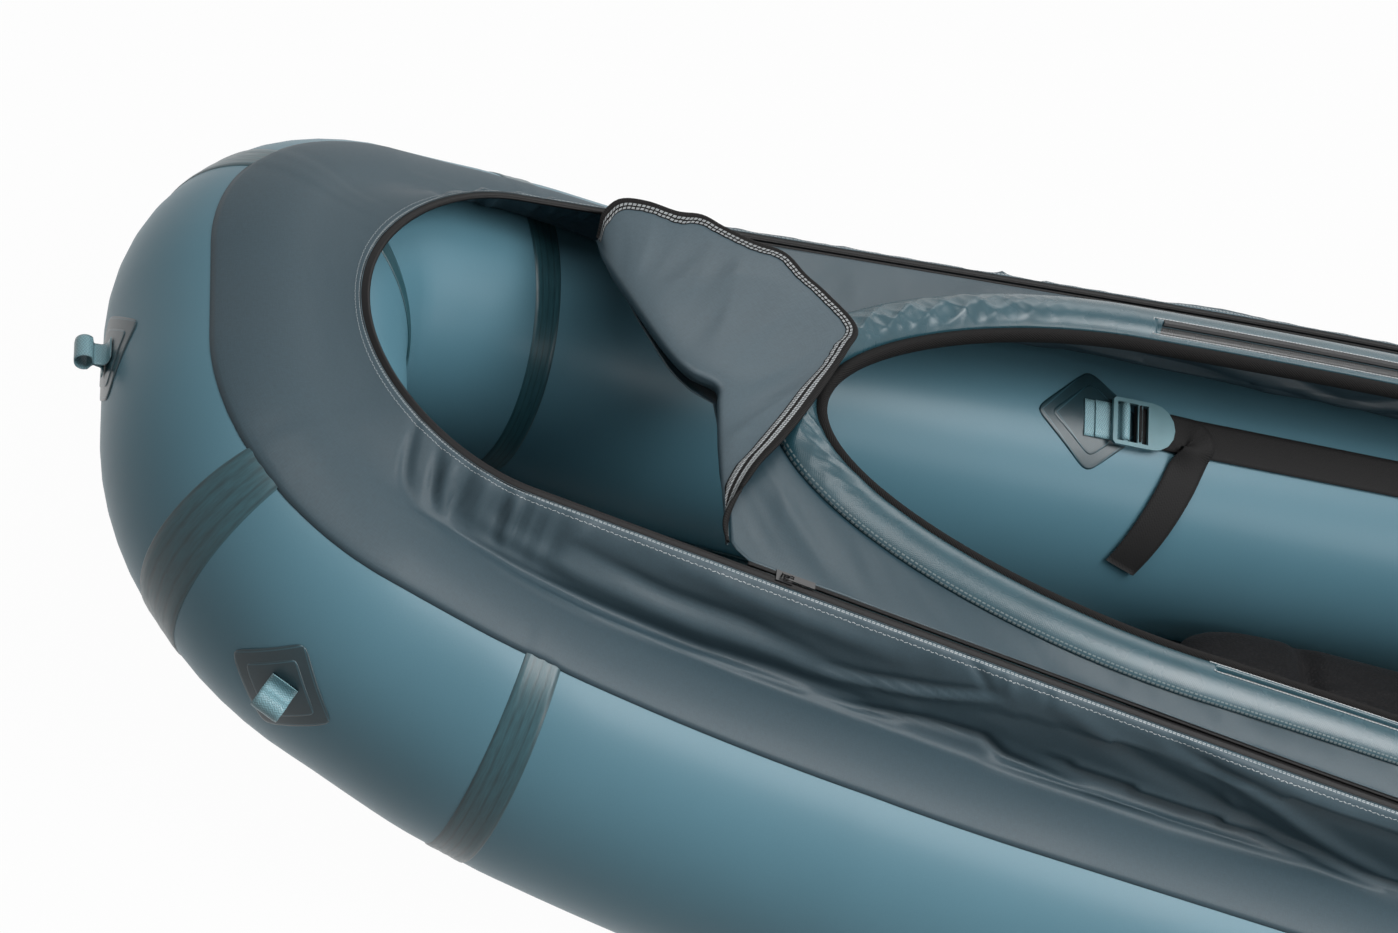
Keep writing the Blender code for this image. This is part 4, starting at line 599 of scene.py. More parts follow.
def carried(path, side, up, profile):
    """Grid of a profile of (side, up) pairs carried along a path: side and up are one way for the whole path or a
    way for each of its points."""
    profile = np.asarray(profile, float)
    side, up = (np.broadcast_to(way, path.shape) for way in (side, up))
    return path[:, None] + side[:, None] * profile[None, :, :1] + up[:, None] * profile[None, :, 1:]


def between(tree, value, low, high):
    """1 where the value lies between low and high."""
    return calc(tree, "MULTIPLY", calc(tree, "GREATER_THAN", value, low), calc(tree, "LESS_THAN", value, high))


def ribbed(name, colour, pitch, rough=.6, depth=.0005, rows=(), lean=0.0, bands=None):
    """Dark cloth with ribs across its length at a set pitch, inside a band of v if one is given."""
    made, tree = start(name, rough, specular=.14)
    u, v, where = cloth_uv(tree)
    slanted = calc(tree, "MULTIPLY_ADD", v, lean, u)
    rib = calc(tree, "MULTIPLY_ADD", ripples(tree, slanted, 2 * math.pi / pitch), .5, .5)
    if bands:
        rib = calc(tree, "MULTIPLY", rib, between(tree, v, *bands))
    grain = blotches(tree, where, 700.0, 2.0)
    tone = calc(tree, "MULTIPLY_ADD", rib, .6, calc(tree, "MULTIPLY", grain, .4))
    out = tinted(tree, colour, tone, .55, 2.1)
    height = tone
    for at in rows:
        mask = stitches(tree, calc(tree, "SUBTRACT", v, at), u, .0005, .0042, .72)
        out = over(tree, out, (.34, .36, .37), mask)
        height = calc(tree, "MULTIPLY_ADD", mask, 1.2, height)
    return finished(made, out, height, depth, .8)


ZIP_TAPE = ribbed("zip_tape", ZIP_BLACK, .0022, .42, .0004, bands=(.0030, .0072))
ZIP, ZIP_NORMAL = deck_loop(ZIP_PLAN, 1500)
FOLD = np.array(((.820, -.1875), (.712, .2037)))
FOLD_WAY = unit(FOLD[1] - FOLD[0])
FOLD_FRONT = np.array((FOLD_WAY[1], -FOLD_WAY[0]))
outer = np.array(((.0012, -.0010), (.0100, -.0008), (.0100, -.0002), (.0056, .0002), (.0048, .0012),
                  (.0030, .0014), (.0012, .0008)))
zip_path, zip_side = level(ZIP, ZIP_HEIGHT), level(ZIP_NORMAL, 0)
chain = surface("zip_outer_tape", carried(zip_path, zip_side, UP, outer), loop_u=True, loop_v=True)
dress(chain, ZIP_TAPE, "zip_outer_chain")

behind = (ZIP - FOLD[0]) @ FOLD_FRONT < -.004
first = int(np.flatnonzero(behind & ~np.roll(behind, 1))[0])
run = (first + np.arange(behind.sum())) % len(ZIP)
inner = outer[::-1] * (-1, 1)
chain = surface("zip_inner_tape", carried(zip_path[run], zip_side[run], UP, inner), loop_v=True, caps=True)
dress(chain, ZIP_TAPE, "zip_inner_chain")

# Cockpit rim and coaming: a ribbed binding round the hole, and outside it a padded sleeve of shiny ripstop, dipped
# in a slot on each side and painted near-black there: the stiffener rod's black and painted shade inside the slot.

SLEEVE_TEAL = (0.017, 0.056, 0.073)
BINDING_BLACK = (0.0055, 0.0052, 0.0052)
RIM_PLAN = (.620, .33, -.52, .30, .212, .10, .11)
SLEEVE_START, SLEEVE_WIDTH, SLEEVE_CLOTH = .0073, .047, .05
SLOT_OUT, SLOT_HALF, SLOT_FORE, SLOT_AFT = .0203, .0078, .278, -.208
RIM, RIM_NORMAL = deck_loop(RIM_PLAN, 1400)
rim_share = np.clip((RIM_PLAN[0] - RIM[:, 0]) / (RIM_PLAN[0] - RIM_PLAN[2]), 0, 1)
rim_z = ZIP_HEIGHT + .004 + .016 * np.sin(math.pi * rim_share)
rim_path, rim_side = level(RIM, rim_z), level(RIM_NORMAL, 0)
turn = np.linspace(0, 2 * math.pi, 18, endpoint=False)
binding = np.column_stack((.0034 + .0062 * np.cos(turn), -.0012 + .0072 * np.sin(turn)))
rim = surface("cockpit_binding", carried(rim_path, rim_side, UP, binding), loop_u=True, loop_v=True)
dress(rim, ribbed("binding_cloth", BINDING_BLACK, .0032, .75, .0009, lean=1.6), "cockpit_rim")

s_rim = lengths(RIM)
t = np.linspace(0, 1, 33)
crown = .0150 * np.sin(math.pi * np.clip(t, 0, 1) ** .82) ** .62
crown[-1] = 0
out_from_rim = SLEEVE_START + SLEEVE_WIDTH * t
sleeve_grid = carried(rim_path, rim_side, UP, np.column_stack((out_from_rim, crown - .0026)))
pull = creases(t[None, :] * SLEEVE_CLOTH, s_rim[:, None], 21, 7, 38, 105, .9)
tight = np.exp(-((RIM[:, 0] - .62) / .13) ** 2) + .5 * np.exp(-((RIM[:, 0] - .45) / .08) ** 2)
tight = tight / (1 + np.exp((RIM[:, 1] - .05) / .018))
long_fold = creases(s_rim[:, None], t[None, :] * SLEEVE_CLOTH, 22, 10, 60, 200, .03)
bump = (.0120 * pull * tight[:, None] + .0002 * pull + .0004 * long_fold) * np.sin(math.pi * t)[None, :]
beside = (RIM[:, 0] < SLOT_FORE) & (RIM[:, 0] > SLOT_AFT)
in_slot = beside[:, None] * np.exp(-((out_from_rim[None, :] - SLOT_OUT) / .0052) ** 4)
sleeve_grid[..., 2] += bump * .55 - in_slot * .0105
under = carried(rim_path, rim_side, UP, [(out_from_rim[-2], -.0036), (.0085, -.0036)])
sleeve = surface("coaming_sleeve_cloth", np.concatenate((sleeve_grid, under), 1), loop_u=True, loop_v=True,
                 along=s_rim, across=np.concatenate((t * SLEEVE_CLOTH, (.052, .09))))


def ripstop(name, colour, slot):
    """Shiny cloth with a fine grid of thicker threads, on edge as diamonds, and a double seam at its outer edge.
    It is painted near-black where v lies near slot[0] and u, counted from the stern, is between slot[1] and
    slot[2]:
    the rod's black and painted shade inside the slot."""
    made, tree = start(name, .28, coat=.04, specular=.50)
    u, v, where = cloth_uv(tree)
    clouds = blotches(tree, where, 30.0, 3.0)
    a, b = (ripples(tree, calc(tree, way, u, v), 2 * math.pi / .0021) for way in ("ADD", "SUBTRACT"))
    grid = calc(tree, "MAXIMUM", a, b)
    tone = calc(tree, "MULTIPLY_ADD", grid, .20, calc(tree, "MULTIPLY_ADD", clouds, .7, .1))
    out = tinted(tree, colour, tone, .72, 1.35)
    height = calc(tree, "MULTIPLY", grid, .3)
    for at in (.0472, .0492):
        mask = stitches(tree, calc(tree, "SUBTRACT", v, at), u, .00045, .0040, .66)
        out = over(tree, out, (.16, .20, .21), mask)
        height = calc(tree, "MULTIPLY_ADD", mask, 1.2, height)
    from_stern = calc(tree, "ABSOLUTE", calc(tree, "SUBTRACT", u, s_rim[-1] / 2))
    across_slot = calc(tree, "LESS_THAN", calc(tree, "ABSOLUTE", calc(tree, "SUBTRACT", v, slot[0])), .0046)
    inside = calc(tree, "MULTIPLY", between(tree, from_stern, slot[1], slot[2]), across_slot)
    # Painted near-black in the slot: the stiffener rod's black and painted shade inside the opening.
    out = over(tree, out, (.004, .005, .006), inside)
    return finished(made, out, height, .0002, .5, calc(tree, "MULTIPLY_ADD", clouds, .12, .21))


port_side = RIM[:, 1] > 0
slot_ends = np.interp((SLOT_FORE - .006, SLOT_AFT + .006), RIM[port_side, 0][::-1], s_rim[port_side][::-1])
slot_v = (SLOT_OUT - SLEEVE_START) / SLEEVE_WIDTH * SLEEVE_CLOTH
slot_place = (slot_v, *sorted(abs(s_rim[-1] / 2 - slot_ends)))
dress(sleeve, ripstop("coaming_ripstop", SLEEVE_TEAL, slot_place), "coaming_sleeve")

# Stitching round each slot: a row of pale twisted thread on the sleeve, down both sides of the slot and round its
# ends, just outside the opening.

THREAD = (0.40, 0.42, 0.43)


def thread_look(name, colour, pitch):
    """Twisted pale thread that dips into the cloth at every stitch."""
    made, tree = start(name, .7)
    u, _, _ = cloth_uv(tree)
    dip = calc(tree, "ABSOLUTE", ripples(tree, u, math.pi / pitch))
    return finished(made, tinted(tree, colour, calc(tree, "POWER", dip, .4), .35, 1.05), dip, .0004, .6)


def round_cord(name, path, radius, sides):
    """Closed cord: a round section carried along a ring of points, square to them."""
    ahead = unit(np.roll(path, -1, 0) - np.roll(path, 1, 0))
    side = unit(np.cross(ahead, UP))
    up = np.cross(side, ahead)
    turn = np.linspace(0, 2 * math.pi, sides, endpoint=False)
    ring = np.column_stack((np.cos(turn), np.sin(turn))) * radius
    return surface(name, carried(path, side, up, ring), loop_u=True, loop_v=True)


STITCH = thread_look("stitch_thread", THREAD, .0034)
for label, side in (("port", 1), ("starboard", -1)):
    beside = (RIM[:, 1] * side > 0) & (RIM[:, 0] < SLOT_FORE + .005) & (RIM[:, 0] > SLOT_AFT - .005)
    sel = np.flatnonzero(beside)
    sel = sel[np.argsort(-RIM[sel, 0])]
    base, across_way = rim_path[sel], rim_side[sel]
    rows_at = []
    for reach, order in ((SLOT_OUT - SLOT_HALF, 1), (SLOT_OUT + SLOT_HALF, -1)):
        height = np.array([np.interp(reach, out_from_rim, sleeve_grid[i, :, 2]) for i in sel])
        rows_at.append(np.column_stack((base[:, :2] + across_way[:, :2] * reach, height + .0003))[::order])
    seam = round_cord(f"slot_stitching_{label}", np.concatenate(rows_at)[::2], .00055, 6)
    seam.data.materials.append(STITCH)
    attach(seam, "hull")

# Centre deck: one sheet of the same weave, its colour painted darker than the skirt's as shade, sewn to the
# coaming inside and to the zip outside, with soft waves all round. Ahead of the cockpit it ends where the front
# panel folds back.

# Painted shade: the deck's slate darkened, for the shade that the centre deck lies in below the sleeve.
CENTRE_SLATE_PAINTED_SHADE = (0.012, 0.034, 0.047)
FLAP_FOLD = np.array(((.823, -.152, .380), (.816, -.119, .386), (.794, -.063, .394), (.770, -.013, .399),
                      (.752, .009, .401), (.728, .018, .401), (.726, .037, .397), (.724, .078, .388),
                      (.721, .135, .380), (.722, .186, .379)))
front_edge = FLAP_FOLD[:, :2] - (.003, 0)
edge = ZIP[run] - ZIP_NORMAL[run] * .0048
if np.linalg.norm(edge[-1] - front_edge[0]) > np.linalg.norm(edge[-1] - front_edge[-1]):
    front_edge = front_edge[::-1]
border = np.concatenate((edge, front_edge))


def meet(points, ways, outline):
    """How far each level ray runs to a closed outline: the least distance at which it crosses one of its edges."""
    a, edge = outline, np.roll(outline, -1, 0) - outline
    cross = ways[:, None, 0] * edge[None, :, 1] - ways[:, None, 1] * edge[None, :, 0]
    gap = a[None] - points[:, None]
    cross = np.where(abs(cross) < 1e-12, 1e-12, cross)
    reach = (gap[..., 0] * edge[None, :, 1] - gap[..., 1] * edge[None, :, 0]) / cross
    share = (gap[..., 0] * ways[:, None, 1] - gap[..., 1] * ways[:, None, 0]) / cross
    reach = np.where((reach > 0) & (share >= -1e-6) & (share <= 1 + 1e-6), reach, 9)
    return reach.min(1)


pick = np.arange(0, len(RIM), 2)
sleeve_edge = RIM[pick] + RIM_NORMAL[pick] * .0530
reach = meet(sleeve_edge, RIM_NORMAL[pick], border)
far = sleeve_edge + RIM_NORMAL[pick] * reach[:, None]
t = np.linspace(0, 1, 30)
centre_grid = np.empty((len(pick), 30, 3))
centre_grid[..., :2] = sleeve_edge[:, None] + (far - sleeve_edge)[:, None] * t[None, :, None]
low = rim_z[pick] - .0030
z = low[:, None] * (1 - t) ** 1.3 + (ZIP_HEIGHT + .0012) * (1 - (1 - t) ** 1.3)
x, y = centre_grid[..., 0], centre_grid[..., 1]
waves = creases(y * .6 + x * .2, x + .35 * abs(y), 31, 12, 12, 70, .5)
soft = np.sin(math.pi * np.clip(t, 0, 1)) ** .8
z = z + soft[None, :] * (.0100 * waves - .0042) * np.clip(reach[:, None] / .12, .35, 1)
centre_grid[..., 2] = z
centre = surface("deck_centre", centre_grid, loop_u=True)
walled(centre, .0007)
dress(centre, woven("centre_weave_painted_shade", CENTRE_SLATE_PAINTED_SHADE), "deck_panel")

# Front panel of the deck, unzipped and turned back over the coaming: the weave's inner face shows, its edge bound
# by its half of the zip.

PANEL_SLATE = (0.037, 0.061, 0.076)
FLAP_OUTER = np.array(((.823, -.152, .380), (.823, -.162, .386), (.821, -.172, .392), (.809, -.184, .400),
                       (.786, -.186, .404), (.757, -.184, .404), (.733, -.189, .404), (.713, -.183, .403),
                       (.685, -.175, .403), (.655, -.171, .403), (.637, -.150, .403), (.619, -.132, .404),
                       (.594, -.098, .405), (.605, -.066, .404), (.643, .010, .402), (.672, .061, .398),
                       (.695, .096, .393), (.710, .126, .388), (.722, .154, .383), (.725, .170, .381),
                       (.722, .186, .380)))


def through(points, count):
    """Even points along a smooth curve through given points: a cubic between each two, tangent to their
    neighbours' line."""
    p = np.concatenate((2 * points[:1] - points[1:2], points, 2 * points[-1:] - points[-2:-1]))
    f = np.linspace(0, 1, 12, endpoint=False)[:, None]
    a, b, c, d = (p[k:len(p) - 3 + k, None] for k in range(4))
    fine = .5 * (2 * b + (c - a) * f + (2 * a - 5 * b + 4 * c - d) * f ** 2 + (3 * b - a - 3 * c + d) * f ** 3)
    return respaced(np.concatenate((fine.reshape(-1, p.shape[1]), points[-1:])), count)


edge, fold = through(FLAP_OUTER, 150), through(FLAP_FOLD, 150)
warp = np.linspace(0, 1, 150)
t = np.linspace(0, 1, 44)
panel = fold[:, None] + (edge - fold)[:, None] * t[None, :, None]
width = np.linalg.norm(edge - fold, axis=1)[:, None]
roll_up = .0042 * (1 - np.exp(-t[None, :] * width / .012)) * np.exp(-t[None, :] * width / .06)
drape = creases(t[None, :] * width, warp[:, None] * .4, 41, 9, 10, 45, .35)
panel[..., 2] += roll_up + (.0105 * drape - .0040) * np.sin(math.pi * t[None, :]) * np.clip(width / .1, 0, 1)
lip = np.stack([fold - np.array((-.0016, 0, .0022)), fold - np.array((-.0010, 0, .0060)),
                fold - np.array((.0006, 0, .0100))], 1)[:, ::-1]
lip[..., 2] = np.maximum(lip[..., 2], ZIP_HEIGHT - .0002)
flap = surface("deck_front_panel", np.concatenate((lip, panel), 1))
walled(flap, .0008, 0)
flap.data.materials.append(woven("panel_weave", PANEL_SLATE, .56))
hinge, aft = np.append(FOLD.mean(0), ZIP_HEIGHT + .002), np.append(-FOLD_FRONT, 0)
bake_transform(flap)
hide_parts("deck_flap")

way = unit(np.gradient(edge, axis=0))
rows_way = (fold - edge) / np.maximum(width, 1e-4)
inward = rows_way - way * (rows_way * way).sum(1)[:, None]
inward[:8], inward[-8:] = inward[8], inward[-9]
square = np.maximum(np.linalg.norm(inward, axis=1), .3)
inward = unit(inward)
face = np.cross(way, inward)
face = face * np.sign(face[:, 2:])


def on_panel(distance):
    """Points of the panel's top at a distance in from its edge, measured square to the edge."""
    at = np.clip(1 - distance / np.maximum(width[:, 0] * square, .005), 0, 1) * (panel.shape[1] - 1)
    low = np.minimum(at.astype(int), panel.shape[1] - 2)
    i = np.arange(len(edge))
    return panel[i, low] * (1 - at + low)[:, None] + panel[i, low + 1] * (at - low)[:, None]


wide = .0090 + .0048 / (1 + np.exp(-(warp - .60) / .015))
scallop = .0009 * abs(np.sin(warp * 150)) * (warp < .56)
rows_at = [on_panel(0 * warp) - inward * .0030 - face * .0006, on_panel(0 * warp) - inward * .0030 + face * .0008,
           on_panel(0 * warp) - inward * .0014 + face * .0019, on_panel(0 * warp) + inward * .0004 + face * .0014]
rows_at += [on_panel((wide + scallop) * k) + face * .0013 for k in (.30, .55, .80, 1.0)]
rows_at += [on_panel(wide + scallop) - face * .0006]
trim = surface("panel_zip", np.stack(rows_at, 1), loop_v=True, caps=True,
               across=(0, .0014, .0032, .0050, .0068, .0090, .0112, .0132, .0150))
trim.data.materials.append(ribbed("panel_zip_tape", BINDING_BLACK, .0022, .7, .0006, bands=(.0010, .0050),
                                  rows=(.0072, .0084, .0110, .0122)))
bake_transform(trim)
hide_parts("flap_zip_chain")

# Welded patches: two diamonds of glossy coated cloth with blunt corners, the smaller one raised on the larger,
# each with a thin pale line near its edge where the weld has squeezed out.

PATCH_TEAL = (0.011, 0.034, 0.044)


def hull_place(x, side):
    """Distance round the hull of the place at x on one side."""
    s = float(np.interp(x, TRACK[1], TRACK[0]))
    return s if side > 0 else 2 * HALF - s


def diamond(name, u, angle, along, around_reach, lift, thick, material):
    """Grid on the tube: a square on its corner with blunt corners, from rings that shrink to the middle, its rim
    bevelled down to the tube. Distances along are measured on the tube's skin, which is longer outside a bend."""
    turn = np.linspace(0, 2 * math.pi, 96, endpoint=False)
    c, s = np.cos(turn), np.sin(turn)
    size = (abs(c + s) ** 9 + abs(c - s) ** 9) ** (-1 / 9)
    a, b = size * c * along, size * s * around_reach
    rings = np.array((1.0, .985, .955, .90, .72, .5, .25, .02))
    raised = np.array((.08, .8, 1, 1, 1, 1, 1, 1)) * thick + lift
    radius = hull(np.array([u]))[2][0]
    near = u + np.linspace(-.16, .16, 65)
    arc = lengths(around(near, angle))
    grid = around(np.interp(rings[None, :] * a[:, None], arc - arc[32], near),
                  angle + rings[None, :] * b[:, None] / radius, raised[None, :] * np.ones((96, 1)))
    piece = surface(name, grid, loop_u=True, across=rings, along=turn)
    ring_uv = np.stack((rings[None, :] * a[:, None], rings[None, :] * b[:, None]), -1).reshape(-1, 2)
    loops = np.empty(len(piece.data.loops), int)
    piece.data.loops.foreach_get("vertex_index", loops)
    piece.data.uv_layers["cloth"].data.foreach_set("uv", ring_uv[loops].ravel())
    piece.data.materials.append(material)
    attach(piece, "hull")
    return piece


def patch(label, u, angle, base_size, top_size, top_thick, cloths):
    """A large diamond for the node and a smaller one raised on it, each with its cloth."""
    base = diamond(f"{label}_base", u, angle, *base_size, .0003, .0010, cloths[0])
    top = diamond(f"{label}_top", u, angle, *top_size, .0012, top_thick, cloths[1])
    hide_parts(label)


def welded_patch(name, colour, half):
    """Glossy cloth with a pale weld line inside its edge and faint presser marks."""
    made, tree = start(name, .30, coat=.08, specular=.40)
    u, v, where = cloth_uv(tree)
    a, b = (calc(tree, "ABSOLUTE", calc(tree, way, u, v)) for way in ("ADD", "SUBTRACT"))
    rim_at = calc(tree, "SUBTRACT", calc(tree, "MAXIMUM", a, b), half * .94)
    mask = calc(tree, "LESS_THAN", calc(tree, "ABSOLUTE", rim_at), .0007)
    marks = weave(tree, u, v, 3600.0)
    clouds = blotches(tree, where, 60.0, 3.0)
    out = over(tree, tinted(tree, colour, clouds, .75, 1.3), tuple(2.2 * c for c in colour), mask)
    return finished(made, out, calc(tree, "MULTIPLY_ADD", marks, .2, clouds), .00025, .5)


GRAB_SPOTS = {"bow": HALF, "bow_port": hull_place(1.003, 1), "bow_starboard": hull_place(1.003, -1), "stern": 0.0}
cloths = welded_patch("patch_cloth", PATCH_TEAL, .052), welded_patch("patch_cloth_small", PATCH_TEAL, .036)
for label, u in GRAB_SPOTS.items():
    patch(f"grab_patch_{label}", u, 0, (.052, .052), (.036, .036), .0009, cloths)

# Grab loops: flat shiny webbing, sewn to the middle of each patch as two feet, pinched together in a short neck
# and open in an eye.

WEB_SILVER = (0.175, 0.310, 0.350)
WEB_THICK, LOOP_HALF = .0013, .0128


def webbing(name, colour, rough, pitch=.0024):
    """Ribbed webbing: chevrons across its width at a set pitch, in a thread that varies in shade."""
    made, tree = start(name, rough, specular=.35)
    u, v, where = cloth_uv(tree)
    zigzag = calc(tree, "PINGPONG", v, .0022)
    rib = ripples(tree, calc(tree, "ADD", u, zigzag), 2 * math.pi / pitch)
    grain = blotches(tree, where, 500.0, 2.0)
    tone = calc(tree, "MULTIPLY_ADD", rib, .28, calc(tree, "MULTIPLY_ADD", grain, .5, .25))
    return finished(made, tinted(tree, colour, tone, .55, 1.5), tone, .0004, .6)


def band_of(name, path, half_width, normal):
    """Webbing: a flat section with round edges carried along a path, half_width to each side of it."""
    t = np.linspace(-1, 1, 9)
    top = np.column_stack((t, WEB_THICK / 2 * np.sqrt(1 - .85 * t ** 8)))
    section = np.concatenate((top, top[::-1] * (1, -1)))
    return surface(name, carried(path, half_width, normal, section), loop_v=True, caps=True)


def spot_frame(u, angle, lift=0.0):
    """Place on the tube with the ways forward round the hull, up round the tube, and out."""
    step = .002
    place = around(u, angle, lift)
    out = hull(u)[1] * math.cos(angle) + UP * math.sin(angle)
    forward = around(u + step, angle) - around(u - step, angle)
    forward = unit(forward - out * (forward @ out))
    return place, forward, np.cross(out, forward), out


LOOP_WEB = webbing("loop_webbing", WEB_SILVER, .30)
for label, u in GRAB_SPOTS.items():
    place, forward, up, out = spot_frame(np.float64(u), 0.0, .0023)
    rise, part = .00065, .00095
    half_path = [(rise, .0125), (rise, .0085), (.0016, .0046), (.0048, part + .0006), (.0085, part),
                 (.012, part)]
    eye = np.radians(np.linspace(128, -128, 26))
    path = half_path + [(.0198 + .0082 * math.cos(a), .0082 * math.sin(a)) for a in eye]
    path += [(a, -b) for a, b in reversed(half_path)]
    path = through(np.array(path), 120)
    line = place + out * path[:, :1] + up * path[:, 1:]
    way = unit(np.gradient(path, axis=0))
    normal = out * -way[:, 1:] + up * way[:, :1]
    loop = band_of(f"grab_loop_{label}_webbing", line, forward * LOOP_HALF, normal)
    dress(loop, LOOP_WEB, f"grab_loop_{label}")

# Thigh straps: on each inner wall of the cockpit a welded diamond carries a short webbing loop, which holds a
# moulded ladder-lock. The black strap comes forward from its rear end, goes round the buckle's bar and hangs down
# as a tail.

THIGH = math.radians(117)
LOCK_LIFT, LOCK_THICK, STRAP_HALF = .0072, .0036, .018
BLACK_WEB = webbing("strap_webbing", (0.0050, 0.0048, 0.0050), .8, .0030)
for label, side in (("port", 1), ("starboard", -1)):
    cloths = [welded_patch(f"thigh_patch_cloth{size}_{label}", PATCH_TEAL, half)
              for size, half in (("", .056), ("_small", .040))]
    patch(f"thigh_patch_{label}", hull_place(.285, side), THIGH, (.060, .052), (.044, .037), .0006, cloths)
    place, forward, up, out = spot_frame(np.float64(hull_place(.268, side)), THIGH)
    aft = -forward if forward[0] > 0 else forward
    up = np.cross(out, aft) * side
    ride, middle = .00225, LOCK_LIFT + LOCK_THICK / 2
    lift_over = ride + .0018
    bend = .0040
    bar_a, bar_b = .01325, .02825
    arc = np.radians(np.linspace(-50, 190, 14))
    pairs = [(-.026, ride), (.0045, ride), (bar_a - bend / 2, ride + .0003)]
    pairs += [(bar_a + bend * math.cos(a), middle + bend * math.sin(a)) for a in arc]
    pairs += [(bar_a - bend * 1.5, lift_over + .0006), (.0045, lift_over), (-.0156, lift_over)]
    pairs = through(np.array(pairs), 90)
    way = unit(np.gradient(pairs, axis=0))
    line = place + aft * pairs[:, :1] + out * pairs[:, 1:]
    normal = aft * -way[:, 1:] + out * way[:, :1]
    loop = band_of(f"thigh_loop_{label}_webbing", line, up * STRAP_HALF, normal)
    dress(loop, LOOP_WEB, f"thigh_loop_{label}")

    lie = np.linspace(hull_place(-.24, side), hull_place(.2, side), 40)[:-3:4]
    lying = around(lie, THIGH, ride)
    pairs = [(.0625, ride), (bar_b + 2 * bend, ride), (bar_b, ride + .0004), (bar_b - bend * .9, ride + bend)]
    arc = np.radians(np.linspace(180, 0, 12))
    pairs += [(bar_b + bend * math.cos(a), middle + bend * math.sin(a)) for a in arc]
    pairs += [(bar_b + 1.5 * bend, lift_over + .0013), (bar_b + 3 * bend, lift_over), (.0745, lift_over)]
    threaded = np.array([place + aft * a + out * h for a, h in pairs])
    tail_u = np.array([hull_place(x, side) for x in np.linspace(.186, .222, 7)])
    tail = around(tail_u, np.radians(np.linspace(130, 171, 7)), .0045)
    turning = threaded[-1] + .012 * np.array((aft + up * .3 + out * .35, aft * 1.3 + up * 1.3 + out * .5))
    coarse = np.concatenate((lying, threaded, turning, tail))
    cross = [around(s, THIGH + .01, ride) - around(s, THIGH - .01, ride) for s in lie]
    level_up = up * np.sign(up @ cross[0])
    cross += [level_up] * len(threaded) + [level_up - aft * k for k in (.45, 1.5)]
    cross += [-aft - up * .15 * (1 - k / 6) for k in range(7)]
    both = through(np.concatenate((coarse, unit(np.array(cross))), 1), 260)
    line, wide = both[:, :3], unit(both[:, 3:])
    way = unit(np.gradient(line, axis=0))
    wide = unit(wide - way * (wide * way).sum(1)[:, None])
    strap = band_of(f"thigh_strap_{label}_webbing", line, wide * STRAP_HALF, np.cross(way, wide))
    dress(strap, BLACK_WEB, f"thigh_strap_{label}")

# Seat and backrest: air cushions in black woven covers, whose chambers are parted by welded channels across them.
# The seat lies on the floor, and the backrest stands behind it, leaning aft.

COVER_BLACK = (0.0050, 0.0046, 0.0050)
REST_LEAN, REST_FOOT, REST_DEPTH = math.radians(10), np.array((-.345, 0, .0326)), .060


def cover(name):
    """Black cover cloth: a raised honeycomb weave over soft clouds of shade."""
    made, tree = start(name, .62, sheen=.02, specular=.20)
    spot = on_object(tree)
    cells = node(tree, "ShaderNodeTexVoronoi", feature="DISTANCE_TO_EDGE", Scale=260.0)
    tree.links.new(spot, cells.inputs["Vector"])
    clouds = blotches(tree, spot, 9.0, 4.0)
    rim_tone = calc(tree, "MINIMUM", calc(tree, "MULTIPLY", cells.outputs[0], 4.0), 1.0)
    tone = calc(tree, "MULTIPLY_ADD", rim_tone, .5, calc(tree, "MULTIPLY", clouds, .5))
    return finished(made, tinted(tree, COVER_BLACK, tone, .5, 1.9), rim_tone, .0004, .7)


def cushion(name, corner, along, across, up, channels, seed):
    """Closed crowned form: a superellipse in plan whose thickness falls to a seam at its edge, pulled in between
    its corners, with rounded valleys for the channels and shallow creases near the seam."""
    a = np.linspace(-1, 1, 90)
    u, v = np.meshgrid(a, a, indexing="ij")
    r = np.maximum(abs(u), abs(v))
    angle = np.arctan2(v, u)
    c, s = np.cos(angle), np.sin(angle)
    shape = 1 / (abs(c) ** 5 + abs(s) ** 5) ** .2
    px, py = r * shape * c, r * shape * s
    py = py * (1 - .03 * (1 - abs(px) ** 2) * abs(py) ** 3)
    px = px * (1 - .025 * (1 - abs(py) ** 2) * abs(px) ** 3)
    crown = (1 - r ** 9) ** .42
    valley = 0
    for k in range(1, channels):
        valley = valley + np.exp(-((px - (2 * k / channels - 1)) / .055) ** 2)
    crease = creases(px * 2, py * 2, seed, 10, 6, 22, .4)
    high = crown * (1 - .24 * valley * (1 - r ** 6)) + .03 * crease * np.sin(math.pi * np.clip(r, 0, 1)) ** 2
    plan = corner + along * ((px + 1) / 2)[..., None] + across * (py / 2)[..., None]
    top, low = (plan + up * (.5 + .5 * share * high)[..., None] for share in (1, -.98))
    index = np.arange(u.size).reshape(u.shape)
    quads = np.stack((index[:-1, :-1], index[:-1, 1:], index[1:, 1:], index[1:, :-1]), -1).reshape(-1, 4)
    faces = np.concatenate((quads, quads + u.size)).tolist()
    piece = solid_of(name, np.concatenate((top, low[::-1])), faces)
    weld = piece.modifiers.new("seam", "WELD")
    weld.merge_threshold = .00005
    return piece


COVER = cover("seat_cover")
low, high = np.array(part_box("seat_cushion"))
seat = cushion("seat_cushion_cover", np.array((low[0], 0, low[2])), np.array((high[0] - low[0], 0, 0)),
               np.array((0, high[1] - low[1], 0)), np.array((0, 0, high[2] - low[2])), 3, 51)
rise = np.array((-math.sin(REST_LEAN), 0, math.cos(REST_LEAN)))
face_way = np.array((math.cos(REST_LEAN), 0, math.sin(REST_LEAN)))
rest = cushion("backrest_cover", REST_FOOT - face_way * REST_DEPTH / 2, rise * .268, np.array((0, .338, 0)),
               face_way * (REST_DEPTH - .001), 4, 52)
for piece, label, body in ((seat, "seat_cushion", "hull"), (rest, "backrest", "backrest")):
    dress(piece, COVER, label, body=body)

